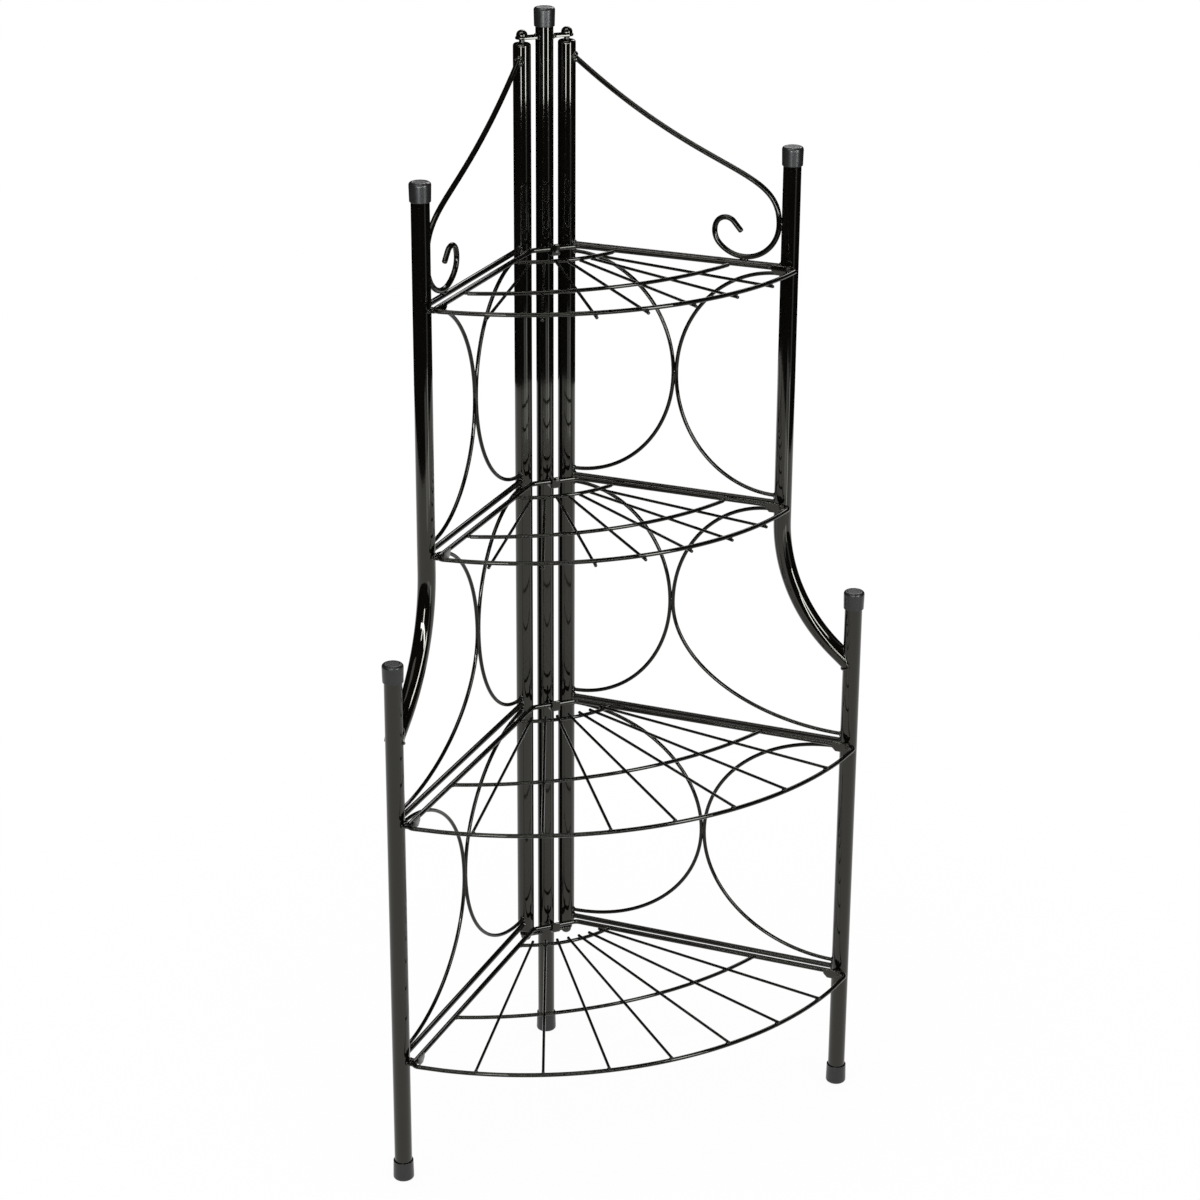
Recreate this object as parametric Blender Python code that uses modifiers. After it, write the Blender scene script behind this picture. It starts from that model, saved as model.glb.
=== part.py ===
"""Corner plant stand of black steel tube and wire: two side panels hung beside a corner post, and four
quarter-round wire shelves that drop on to brackets on the panels and hooks on the corner post.

Frame: origin on the floor under the corner post's axis, +Z up. The right panel runs along +X and the left
panel along -Y, so the open front of the stand faces between +X and -Y. All sizes are in metres.
"""

import math

import bmesh
import bpy
from mathutils import Vector

# Tubes, rods and wires
TUBE_DIAMETER = 0.019
TUBE_WALL = 0.001
RAIL_DIAMETER = 0.006
SIDE_WIRE_DIAMETER = 0.0055
FRONT_ARC_DIAMETER = 0.0046
CROSS_ARC_DIAMETER = 0.0042
SPOKE_DIAMETER = 0.0032
ORNAMENT_DIAMETER = 0.0042
SCROLL_DIAMETER = 0.0058

# Heights above the floor
TOTAL_HEIGHT = 1.215
CORNER_POST_RISE = 0.036
INNER_TUBE_TOP = TOTAL_HEIGHT - CORNER_POST_RISE
UPPER_POST_TOP = 1.088
LOWER_POST_TOP = 0.607
FIRST_RAIL_Z = 0.959
SECOND_RAIL_Z = 0.696
THIRD_RAIL_Z = 0.4285
FOURTH_RAIL_Z = 0.147
INNER_TUBE_DROP = 0.010

# Plan of the stand
ROW_PITCH = 0.0254
UPPER_REACH = 0.253
LOWER_REACH = 0.337

# Bend of the upper posts
BEND_RADIUS = 0.184
BEND_ANGLE = math.radians(50.0)
BEND_JOIN_Z = 0.520

# End caps and feet
CAP_DIAMETER = 0.0226
CAP_MOUTH_DIAMETER = 0.0218
CAP_HEIGHT = 0.020
CAP_TOP_THICKNESS = 0.003
FOOT_HEIGHT = 0.022
FOOT_FLOOR_THICKNESS = 0.004
CAP_EDGE = 0.0018

# Hinge tabs and their bolts
TAB_WIDTH = 0.014
TAB_THICKNESS = 0.0025
TAB_GAP = 0.004
BOLT_DIAMETER = 0.006
BOLT_DEPTH = 0.014
DOME_NUT_DIAMETER = 0.012
DOME_NUT_SKIRT = 0.0015
DOME_NUT_HEIGHT = 0.007
PLUG_THICKNESS = 0.004

# Shelves
UPPER_SHELF_OVERHANG = 0.033
LOWER_SHELF_OVERHANG = 0.032
FRONT_FLATTENING = 0.013
FRAME_RISE = 0.003
UPPER_MIDDLE_ARC_RADIUS = 0.212
UPPER_MIDDLE_MIDPOINT = 0.185
LOWER_MIDDLE_ARC_RADIUS = 0.260
LOWER_MIDDLE_MIDPOINT = 0.224
INNER_ARC_RADIUS = 0.082
INNER_MIDPOINT = 0.071
REAR_ROD_OUT = 0.027
REAR_BEND_RADIUS = 0.009
FRONT_BEND_RADIUS = 0.008
SPOKES = 7
SPOKE_OVERHANG = 0.004

# Hooks and brackets that carry the shelves
HOOK_WIDTH = 0.009
HOOK_DEPTH = 0.0045
HOOK_LIP_THICKNESS = 0.0025
HOOK_LIP_RISE = 0.006
HOOK_PLAY = 0.0008
BRACKET_LENGTH = 0.014
BRACKET_SHEET = 0.002
BRACKET_OVERREACH = 0.0012
BRACKET_CHAMFER = 0.003

# Plates on the inner side of each shelf's front corners
PLATE_LENGTH = 0.016
PLATE_SHEET = 0.002
PLATE_SET_BACK = 0.005
PLATE_RISE = 0.0035

# Scroll at the top of each panel
SCROLL_START_DROP = 0.0192
SCROLL_START_LEAN = math.radians(37.3)
SCROLL_START_PULL = 0.825
SCROLL_LANDING_PULL = 0.397
SCROLL_BOW_RADIUS = 0.038
SCROLL_BOW_TURN = math.radians(137.0)
SCROLL_CURL_RADIUS = 0.0203
SCROLL_CURL_TURN = math.radians(63.0)
SCROLL_TIP_RADIUS = 0.0119
SCROLL_TIP_TURN = math.radians(119.0)
SCROLL_TAIL = 0.011

# Ornaments between the rails
ORNAMENT_RAIL_GAP = 0.0028

# Fits
FIT_GAP = 0.0003
WELD_OVERLAP = 0.0008

# Looks
PAINT = ("paint", (0.012, 0.012, 0.011, 1.0), 0.22, 0.0)
PLASTIC = ("plastic", (0.030, 0.031, 0.032, 1.0), 0.48, 0.0)
ROUND_SIDES = 16
BOLT_SIDES = 12
CURVE_STEPS = 16
FILLET_STEPS = 4
ARC_STEP = math.radians(18.0)
BEND_STEP = math.radians(6.5)
DOME_STEPS = 4

TUBE_RADIUS = TUBE_DIAMETER / 2
CORNER_OFFSET = ROW_PITCH / math.sqrt(2)
RAIL_HEIGHTS = (FIRST_RAIL_Z, SECOND_RAIL_Z, THIRD_RAIL_Z, FOURTH_RAIL_Z)
RAIL_REACHES = (UPPER_REACH, UPPER_REACH, LOWER_REACH, LOWER_REACH)
UPPER_SHELF_RADIUS = UPPER_REACH + UPPER_SHELF_OVERHANG
LOWER_SHELF_RADIUS = LOWER_REACH + LOWER_SHELF_OVERHANG
UPPER_ARCS = {
    "front": (UPPER_SHELF_RADIUS, UPPER_SHELF_RADIUS - FRONT_FLATTENING),
    "middle": (UPPER_MIDDLE_ARC_RADIUS, UPPER_MIDDLE_MIDPOINT),
    "inner": (INNER_ARC_RADIUS, INNER_MIDPOINT),
}
LOWER_ARCS = {
    "front": (LOWER_SHELF_RADIUS, LOWER_SHELF_RADIUS - FRONT_FLATTENING),
    "middle": (LOWER_MIDDLE_ARC_RADIUS, LOWER_MIDDLE_MIDPOINT),
    "inner": (INNER_ARC_RADIUS, INNER_MIDPOINT),
}
SHELF_ARCS = (UPPER_ARCS, UPPER_ARCS, LOWER_ARCS, LOWER_ARCS)
INNER_TUBE_BOTTOM = FOURTH_RAIL_Z - INNER_TUBE_DROP
POST_FOOT_Z = FOOT_FLOOR_THICKNESS + FIT_GAP
SADDLE_DROP = SIDE_WIRE_DIAMETER / 2 + FIT_GAP
SIDES = {"left": 1, "right": -1}
BISECTOR = Vector((1, -1)) / math.sqrt(2)
ACROSS = Vector((1, 1)) / math.sqrt(2)


def start_scene():
    """Empties the scene and makes one collection for the stand and one for its cutters."""
    for old in list(bpy.data.objects):
        bpy.data.objects.remove(old, do_unlink=True)
    made = []
    for name in ("corner_plant_stand", "cutters"):
        collection = bpy.data.collections.new(name)
        bpy.context.scene.collection.children.link(collection)
        made.append(collection)
    return made


def add_look(obj, look):
    """Gives an object its own Principled material."""
    name, colour, roughness, metallic = look
    material = bpy.data.materials.new(f"{obj.name}_{name}")
    material.use_nodes = True
    shader = material.node_tree.nodes["Principled BSDF"]
    shader.inputs["Base Color"].default_value = colour
    shader.inputs["Roughness"].default_value = roughness
    shader.inputs["Metallic"].default_value = metallic
    obj.data.materials.append(material)


def place(obj, parent, look, location=(0, 0, 0), rotation=(0, 0, 0)):
    """Links an object into the stand under its parent empty."""
    STAND.objects.link(obj)
    obj.parent = parent
    obj.location = location
    obj.rotation_euler = rotation
    add_look(obj, look)
    return obj


def axis_empty(name, location, turn=0.0):
    """An empty on the axis that a group of pieces moves about."""
    empty = bpy.data.objects.new(name, None)
    empty.location = location
    empty.rotation_euler = (0, 0, turn)
    STAND.objects.link(empty)
    return empty


def wire_curve(name, points, diameter, sides=6, closed=False, thickness=None, capped=True):
    """A POLY curve through points with a round section; thickness scales the section at each point."""
    data = bpy.data.curves.new(name, "CURVE")
    data.dimensions = "3D"
    data.bevel_depth = diameter / 2
    data.bevel_resolution = (sides - 4) // 2
    data.use_fill_caps = capped and not closed
    spline = data.splines.new("POLY")
    spline.points.add(len(points) - 1)
    for index, point in enumerate(points):
        spline.points[index].co = (*point, 1.0)
        spline.points[index].radius = thickness[index] if thickness else 1.0
    spline.use_cyclic_u = closed
    return bpy.data.objects.new(name, data)


def wire(name, points, diameter, parent, **options):
    """A wire or rod as a finished piece."""
    return place(wire_curve(name, points, diameter, **options), parent, PAINT)


def mesh_of(obj):
    """A linked object's evaluated mesh, with loose caps welded to their walls."""
    bpy.context.view_layer.update()
    graph = bpy.context.evaluated_depsgraph_get()
    mesh = bpy.data.meshes.new_from_object(obj.evaluated_get(graph))
    cleaner = bmesh.new()
    cleaner.from_mesh(mesh)
    bmesh.ops.remove_doubles(cleaner, verts=cleaner.verts, dist=0.000001)
    bmesh.ops.recalc_face_normals(cleaner, faces=cleaner.faces)
    cleaner.to_mesh(mesh)
    cleaner.free()
    return mesh


def helper_mesh(curve):
    """Turns a curve object into a mesh object that is kept among the cutters."""
    CUTTERS.objects.link(curve)
    helper = bpy.data.objects.new(f"{curve.name}_mesh", mesh_of(curve))
    helper.location = curve.location
    helper.rotation_euler = curve.rotation_euler
    bpy.data.objects.remove(curve)
    CUTTERS.objects.link(helper)
    helper.hide_render = True
    helper.display_type = "WIRE"
    return helper


def welded(name, curves, parent):
    """Joins overlapping wires and plates into one piece, as their welds do."""
    helpers = [helper_mesh(curve) for curve in curves]
    obj = place(bpy.data.objects.new(name, helpers[0].data.copy()), parent, PAINT)
    for helper in helpers[1:]:
        helper.parent = parent
        union = obj.modifiers.new(f"weld_{helper.name}", "BOOLEAN")
        union.operation = "UNION"
        union.solver = "EXACT"
        union.object = helper
    bpy.data.objects.remove(helpers[0])
    return obj


def turned(name, profile, parent, look, location=(0, 0, 0), closed=False, sides=ROUND_SIDES):
    """Turns a profile of (radius, height) points, run top to bottom on its outer side, about Z."""
    mesh = bpy.data.meshes.new(name)
    shaper = bmesh.new()
    corners = [shaper.verts.new((radius, 0, height)) for radius, height in profile]
    for first, second in zip(corners, corners[1:]):
        shaper.edges.new((first, second))
    if closed:
        shaper.edges.new((corners[-1], corners[0]))
    shaper.to_mesh(mesh)
    shaper.free()
    obj = place(bpy.data.objects.new(name, mesh), parent, look, location)
    screw = obj.modifiers.new("turn", "SCREW")
    screw.steps = sides
    screw.render_steps = sides
    screw.use_merge_vertices = True
    screw.merge_threshold = 0.00001
    screw.use_smooth_shade = True
    return obj


def plate_curve(name, outlines, thickness):
    """A flat outline, with holes where later outlines lie inside the first, extruded to a thickness."""
    data = bpy.data.curves.new(name, "CURVE")
    data.dimensions = "2D"
    data.fill_mode = "BOTH"
    data.extrude = thickness / 2
    for outline in outlines:
        spline = data.splines.new("POLY")
        spline.points.add(len(outline) - 1)
        for index, (x, y) in enumerate(outline):
            spline.points[index].co = (x, y, 0, 1)
        spline.use_cyclic_u = True
    return bpy.data.objects.new(name, data)


def plate(name, outlines, thickness, parent, location, rotation=(0, 0, 0)):
    """A flat plate as a finished piece."""
    return place(plate_curve(name, outlines, thickness), parent, PAINT, location, rotation)


def arc_points(centre, radius, start, end, step_angle=ARC_STEP):
    """Points on a circle from one angle to another, as (x, y) pairs."""
    steps = max(2, math.ceil(abs(end - start) / step_angle - 0.01))
    return [
        (
            centre[0] + radius * math.cos(start + (end - start) * step / steps),
            centre[1] + radius * math.sin(start + (end - start) * step / steps),
        )
        for step in range(steps + 1)
    ]


def hollow_post(name, bottom, top, parent, location):
    """A straight open tube."""
    bore = TUBE_RADIUS - TUBE_WALL
    profile = [(TUBE_RADIUS, top), (TUBE_RADIUS, bottom), (bore, bottom), (bore, top)]
    return turned(name, profile, parent, PAINT, location, closed=True)


def end_cap(name, top, parent, location):
    """A plastic cap that slips over a tube's upper end and narrows towards its mouth."""
    radius = CAP_DIAMETER / 2
    mouth = CAP_MOUTH_DIAMETER / 2
    bore = TUBE_RADIUS + FIT_GAP
    ceiling = top - CAP_TOP_THICKNESS
    profile = [
        (0, top),
        (radius - CAP_EDGE, top),
        (radius, top - CAP_EDGE),
        (mouth, top - CAP_HEIGHT),
        (bore, top - CAP_HEIGHT),
        (bore, ceiling),
        (0, ceiling),
    ]
    return turned(name, profile, parent, PLASTIC, location)


def end_foot(name, parent, location):
    """A plastic foot that slips over a tube's lower end and stands on the floor, widest at its sole."""
    radius = CAP_DIAMETER / 2
    mouth = CAP_MOUTH_DIAMETER / 2
    bore = TUBE_RADIUS + FIT_GAP
    profile = [
        (0, FOOT_FLOOR_THICKNESS),
        (bore, FOOT_FLOOR_THICKNESS),
        (bore, FOOT_HEIGHT),
        (mouth, FOOT_HEIGHT),
        (radius, CAP_EDGE),
        (radius - CAP_EDGE, 0),
        (0, 0),
    ]
    return turned(name, profile, parent, PLASTIC, location)


def tube_end_under(cap_top):
    """Height of a tube's end inside a cap."""
    return cap_top - CAP_TOP_THICKNESS - FIT_GAP


def build_corner_post():
    """The full-height tube at the back corner with its cap and foot."""
    here = (0, 0, 0)
    hollow_post("corner_post", POST_FOOT_Z, tube_end_under(TOTAL_HEIGHT), None, here)
    end_cap("corner_post_cap", TOTAL_HEIGHT, None, here)
    end_foot("corner_post_foot", None, here)


def build_hinge_tab(name, turn, height):
    """A flat tab from the corner post to the bolt that one panel hangs on."""
    half = TAB_WIDTH / 2
    seat = TUBE_RADIUS + FIT_GAP
    seat_angle = math.asin(half / seat)
    outline = arc_points((0, 0), seat, seat_angle, -seat_angle)
    outline += arc_points((ROW_PITCH, 0), half, -math.pi / 2, math.pi / 2)
    hole = arc_points((ROW_PITCH, 0), BOLT_DIAMETER / 2 + FIT_GAP, 0, 2 * math.pi)[:-1]
    plate(name, [outline, hole], TAB_THICKNESS, None, (0, 0, height), (0, 0, turn))


def build_hinge_bolt(name, tab_face, up, location):
    """A bolt with a domed head outside its tab; up is 1 above the panel and -1 below it."""
    shank = BOLT_DIAMETER / 2
    head = DOME_NUT_DIAMETER / 2
    seat = tab_face + up * FIT_GAP
    skirt = seat + up * DOME_NUT_SKIRT
    dome_height = DOME_NUT_HEIGHT - DOME_NUT_SKIRT
    dome = [
        (head * math.sin(angle), skirt + up * dome_height * math.cos(angle))
        for angle in (math.pi / 2 * step / DOME_STEPS for step in range(DOME_STEPS + 1))
    ]
    tip = seat - up * (FIT_GAP + TAB_THICKNESS + TAB_GAP + BOLT_DEPTH)
    profile = [*dome, (head, seat), (shank, seat), (shank, tip), (0, tip)]
    turned(name, profile if up > 0 else profile[::-1], None, PAINT, location, sides=BOLT_SIDES)


def build_hinges():
    """Two tabs and two bolts above and below the inner tubes."""
    for side, inside in SIDES.items():
        turn = math.radians(45 if side == "right" else 225)
        spot = (-inside * CORNER_OFFSET, -inside * CORNER_OFFSET, 0)
        for level, edge, up in (("upper", INNER_TUBE_TOP, 1), ("lower", INNER_TUBE_BOTTOM, -1)):
            middle = edge + up * (TAB_GAP + TAB_THICKNESS / 2)
            build_hinge_tab(f"{side}_{level}_hinge_tab", turn, middle)
            build_hinge_bolt(f"{side}_{level}_hinge_bolt", middle + up * TAB_THICKNESS / 2, up, spot)


def build_shelf_hook(number, rail_z):
    """The J-shaped hook on the corner post that holds a shelf's rear rod."""
    back = TUBE_RADIUS + FIT_GAP
    lip = REAR_ROD_OUT + SIDE_WIRE_DIAMETER / 2 + HOOK_PLAY
    front = lip + HOOK_LIP_THICKNESS
    saddle = -SADDLE_DROP
    under = saddle - HOOK_DEPTH
    outline = [(back, saddle), (back, under)]
    outline += arc_points((front - HOOK_DEPTH, saddle), HOOK_DEPTH, -math.pi / 2, 0)
    outline += [(front, HOOK_LIP_RISE), (lip, HOOK_LIP_RISE), (lip, saddle)]
    turn = (math.pi / 2, 0, -math.pi / 4)
    plate(f"shelf_{number}_hook", [outline], HOOK_WIDTH, None, (0, 0, rail_z + FRAME_RISE), turn)


def inner_tube(name, parent):
    """The tube that a panel hangs on: plugged at both ends, each plug bored for its bolt."""
    bore = TUBE_RADIUS - TUBE_WALL
    hole = BOLT_DIAMETER / 2 + FIT_GAP
    top_plug = INNER_TUBE_TOP - PLUG_THICKNESS
    bottom_plug = INNER_TUBE_BOTTOM + PLUG_THICKNESS
    profile = [
        (TUBE_RADIUS, INNER_TUBE_TOP),
        (TUBE_RADIUS, INNER_TUBE_BOTTOM),
        (hole, INNER_TUBE_BOTTOM),
        (hole, bottom_plug),
        (bore, bottom_plug),
        (bore, top_plug),
        (hole, top_plug),
        (hole, INNER_TUBE_TOP),
    ]
    return turned(name, profile, parent, PAINT, closed=True)


def upper_post(side, parent):
    """The upper outer post: straight under its cap, then bent outwards to meet the lower post.

    The bend is an arc of BEND_RADIUS through BEND_ANGLE and then a straight run that reaches the lower
    post's axis at BEND_JOIN_Z. Its end is coped round the lower post.
    """
    run = LOWER_REACH - UPPER_REACH - BEND_RADIUS * (1 - math.cos(BEND_ANGLE))
    straight = run / math.sin(BEND_ANGLE)
    bend_end_z = BEND_JOIN_Z + straight * math.cos(BEND_ANGLE)
    bend_z = bend_end_z + BEND_RADIUS * math.sin(BEND_ANGLE)
    centre = (UPPER_REACH + BEND_RADIUS, bend_z)
    path = [(UPPER_REACH, tube_end_under(UPPER_POST_TOP))]
    path += arc_points(centre, BEND_RADIUS, math.pi, math.pi + BEND_ANGLE, BEND_STEP)
    path.append((LOWER_REACH, BEND_JOIN_Z))
    points = [(reach, 0, height) for reach, height in path]
    curve = wire_curve(f"{side}_upper_post", points, TUBE_DIAMETER, ROUND_SIDES, capped=False)
    CUTTERS.objects.link(curve)
    wall = curve.modifiers.new("wall", "SOLIDIFY")
    wall.thickness = TUBE_WALL
    wall.offset = -1
    mesh = mesh_of(curve)
    bpy.data.objects.remove(curve)
    post = place(bpy.data.objects.new(f"{side}_upper_post", mesh), parent, PAINT)
    cope = post.modifiers.new("cope", "BOOLEAN")
    cope.operation = "DIFFERENCE"
    cope.solver = "EXACT"
    cope.object = cope_cutter(side, parent)
    return post


def cope_cutter(side, parent):
    """The cylinder, a fit gap wider than the lower post, that copes the upper post's end."""
    shaper = bmesh.new()
    bmesh.ops.create_cone(
        shaper,
        cap_ends=True,
        segments=ROUND_SIDES * 2,
        radius1=TUBE_RADIUS + FIT_GAP,
        radius2=TUBE_RADIUS + FIT_GAP,
        depth=TUBE_DIAMETER * 6,
    )
    mesh = bpy.data.meshes.new(f"{side}_cope")
    shaper.to_mesh(mesh)
    shaper.free()
    cutter = bpy.data.objects.new(f"{side}_cope", mesh)
    CUTTERS.objects.link(cutter)
    cutter.parent = parent
    cutter.location = (LOWER_REACH, 0, BEND_JOIN_Z)
    cutter.hide_render = True
    cutter.display_type = "WIRE"
    return cutter


def scroll_path():
    """The scroll as (reach, height): a sweep from the inner tube to the post, then a tightening curl.

    The sweep is a cubic Bezier curve that ends straight down beside the upper post. Three arcs follow, each
    tighter than the one before and tangent to it: a bow that rests on the rail, a curl and a tip. A short
    straight tail ends the wire.
    """
    half = SCROLL_DIAMETER / 2
    lean = Vector((math.cos(SCROLL_START_LEAN), -math.sin(SCROLL_START_LEAN)))
    start = Vector((TUBE_RADIUS + FIT_GAP - half * lean.y, INNER_TUBE_TOP - SCROLL_START_DROP))
    bow_bottom = FIRST_RAIL_Z + RAIL_DIAMETER / 2 + FIT_GAP + half
    bow = Vector((UPPER_REACH - TUBE_RADIUS - FIT_GAP - half - SCROLL_BOW_RADIUS, 0))
    bow.y = bow_bottom + SCROLL_BOW_RADIUS
    landing = bow + Vector((SCROLL_BOW_RADIUS, 0))
    knee = start + lean * SCROLL_START_PULL * (landing.x - start.x)
    shoulder = landing + Vector((0, SCROLL_LANDING_PULL * (start.y - landing.y)))
    sweep = []
    for step in range(CURVE_STEPS):
        t = step / CURVE_STEPS
        u = 1 - t
        sweep.append(start * u**3 + knee * 3 * u * u * t + shoulder * 3 * u * t * t + landing * t**3)
    path = [tuple(point) for point in sweep]
    path += arc_points(bow, SCROLL_BOW_RADIUS, 0, -SCROLL_BOW_TURN)
    centre = bow
    radius = SCROLL_BOW_RADIUS
    heading = -SCROLL_BOW_TURN
    for next_radius, turn in ((SCROLL_CURL_RADIUS, SCROLL_CURL_TURN), (SCROLL_TIP_RADIUS, SCROLL_TIP_TURN)):
        centre = centre + (radius - next_radius) * Vector((math.cos(heading), math.sin(heading)))
        path += arc_points(centre, next_radius, heading, heading - turn)[1:]
        radius = next_radius
        heading -= turn
    tail = Vector((math.sin(heading), -math.cos(heading))) * SCROLL_TAIL
    path.append((path[-1][0] + tail.x, path[-1][1] + tail.y))
    return path


def half_round(start_reach, touch_reach, upper_z, lower_reach_start, lower_z):
    """A half-round wire as (reach, height): two quarter ellipses that meet upright at touch_reach."""
    middle = (upper_z + lower_z) / 2
    rise = (upper_z - lower_z) / 2
    path = []
    for step in range(CURVE_STEPS + 1):
        angle = math.pi / 2 - math.pi * step / CURVE_STEPS
        base = start_reach if angle >= 0 else lower_reach_start
        path.append((base + (touch_reach - base) * math.cos(angle), middle + rise * math.sin(angle)))
    return path


def build_ornament(side, tier, parent):
    """Two half-round wires back to back between one rail and the next, welded where they touch."""
    clear = RAIL_DIAMETER / 2 + ORNAMENT_RAIL_GAP + ORNAMENT_DIAMETER / 2
    upper_z = RAIL_HEIGHTS[tier] - clear
    lower_z = RAIL_HEIGHTS[tier + 1] + clear
    touch = RAIL_REACHES[tier] / 2
    apart = (ORNAMENT_DIAMETER - WELD_OVERLAP) / 2
    inner = TUBE_RADIUS + FIT_GAP
    outer = RAIL_REACHES[tier] - inner
    outer_below = RAIL_REACHES[tier + 1] - inner
    paths = {
        "inner": half_round(inner, touch - apart, upper_z, inner, lower_z),
        "outer": half_round(outer, touch + apart, upper_z, outer_below, lower_z),
    }
    curves = [
        wire_curve(f"{side}_ornament_{tier + 1}_{name}", [(r, 0, z) for r, z in path], ORNAMENT_DIAMETER)
        for name, path in paths.items()
    ]
    welded(f"{side}_ornament_{tier + 1}", curves, parent)


def build_bracket(side, inside, number, parent):
    """A flat bracket on an outer post, with chamfered front corners, that a shelf's side wire lies on."""
    back = inside * (TUBE_RADIUS + FIT_GAP)
    front = inside * (CORNER_OFFSET + BRACKET_OVERREACH)
    shoulder = front - inside * BRACKET_CHAMFER
    half = BRACKET_LENGTH / 2
    nose = half - BRACKET_CHAMFER
    outline = [(-half, back), (half, back), (half, shoulder)]
    outline += [(nose, front), (-nose, front), (-half, shoulder)]
    middle = RAIL_HEIGHTS[number] + FRAME_RISE - SADDLE_DROP - BRACKET_SHEET / 2
    name = f"{side}_bracket_{number + 1}"
    plate(name, [outline], BRACKET_SHEET, parent, (RAIL_REACHES[number], 0, middle))


def build_panel(side, inside):
    """One side panel: inner tube, two outer posts, rails, scroll, ornaments, caps, foot and brackets."""
    turn = 0.0 if side == "right" else -math.pi / 2
    spot = (-inside * CORNER_OFFSET, -inside * CORNER_OFFSET, 0)
    axis = axis_empty(f"{side}_panel_axis", spot, turn)
    inner_tube(f"{side}_inner_tube", axis)
    upper_post(side, axis)
    lower_spot = (LOWER_REACH, 0, 0)
    hollow_post(f"{side}_lower_post", POST_FOOT_Z, tube_end_under(LOWER_POST_TOP), axis, lower_spot)
    end_cap(f"{side}_upper_cap", UPPER_POST_TOP, axis, (UPPER_REACH, 0, 0))
    end_cap(f"{side}_lower_cap", LOWER_POST_TOP, axis, lower_spot)
    end_foot(f"{side}_foot", axis, lower_spot)
    near = TUBE_RADIUS + FIT_GAP
    for number, (height, reach) in enumerate(zip(RAIL_HEIGHTS, RAIL_REACHES)):
        ends = [(near, 0, height), (reach - near, 0, height)]
        wire(f"{side}_rail_{number + 1}", ends, RAIL_DIAMETER, axis, sides=8)
        build_bracket(side, inside, number, axis)
    points = [(reach, 0, height) for reach, height in scroll_path()]
    wire(f"{side}_scroll", points, SCROLL_DIAMETER, axis)
    for tier in range(len(RAIL_HEIGHTS) - 1):
        build_ornament(side, tier, axis)


def arc_circle(end_radius, midpoint):
    """Radius and set-back of the circle of a shelf arc, whose centre lies on the bisector.

    The arc meets both side lines end_radius from the corner axis, and the bisector at midpoint. The set-back
    is where the circle's centre lies along the bisector.
    """
    half_chord = end_radius / math.sqrt(2)
    bulge = midpoint - half_chord
    radius = (half_chord**2 + bulge**2) / (2 * bulge)
    return radius, midpoint - radius


def bowed_arc(end_radius, midpoint, height, shorten=0.0):
    """Points of a shelf arc from the left side line to the right, stopping shorten from both lines."""
    radius, set_back = arc_circle(end_radius, midpoint)
    end = math.asin(end_radius / math.sqrt(2) / radius)
    end -= shorten / (radius * math.cos(math.pi / 4 - end))
    points = []
    for step in range(CURVE_STEPS + 1):
        angle = end * (2 * step / CURVE_STEPS - 1)
        spot = (set_back + radius * math.cos(angle)) * BISECTOR + radius * math.sin(angle) * ACROSS
        points.append((spot.x, spot.y, height))
    return points


def reach_of_arc(end_radius, midpoint, angle):
    """Distance from the corner axis at which a radial line, angle from the left side, meets a shelf arc."""
    radius, set_back = arc_circle(end_radius, midpoint)
    lean = angle - math.pi / 4
    return set_back * math.cos(lean) + math.sqrt(radius**2 - (set_back * math.sin(lean)) ** 2)


def rounded_corner(before, corner, after, radius):
    """The fillet of one corner, as points from its first tangent point to its last."""
    to_before = (Vector(before) - Vector(corner)).normalized()
    to_after = (Vector(after) - Vector(corner)).normalized()
    half = to_before.angle(to_after) / 2
    reach = radius / math.tan(half)
    middle = (to_before + to_after).normalized()
    centre = Vector(corner) + middle * (radius / math.sin(half))
    first = (Vector(corner) + to_before * reach - centre).normalized()
    last = (Vector(corner) + to_after * reach - centre).normalized()
    shares = [step / FILLET_STEPS for step in range(FILLET_STEPS + 1)]
    return [tuple(centre + radius * first.slerp(last, share)) for share in shares]


def corner_plates(number):
    """Two upright plates inside a shelf's side wires, beside the posts and flush with the wires below."""
    half = PLATE_LENGTH / 2
    under = -SIDE_WIRE_DIAMETER / 2
    outline = [(-half, under), (half, under), (half, PLATE_RISE), (-half, PLATE_RISE)]
    along = CORNER_OFFSET + RAIL_REACHES[number] - PLATE_SET_BACK
    inwards = (SIDE_WIRE_DIAMETER + PLATE_SHEET) / 2 - WELD_OVERLAP
    spots = {"left": ((inwards, -along, 0), -math.pi / 2), "right": ((along, -inwards, 0), 0.0)}
    made = []
    for side, (spot, turn) in spots.items():
        curve = plate_curve(f"shelf_{number + 1}_{side}_plate", [outline], PLATE_SHEET)
        curve.location = spot
        curve.rotation_euler = (math.pi / 2, 0, turn)
        made.append(curve)
    return made


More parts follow.
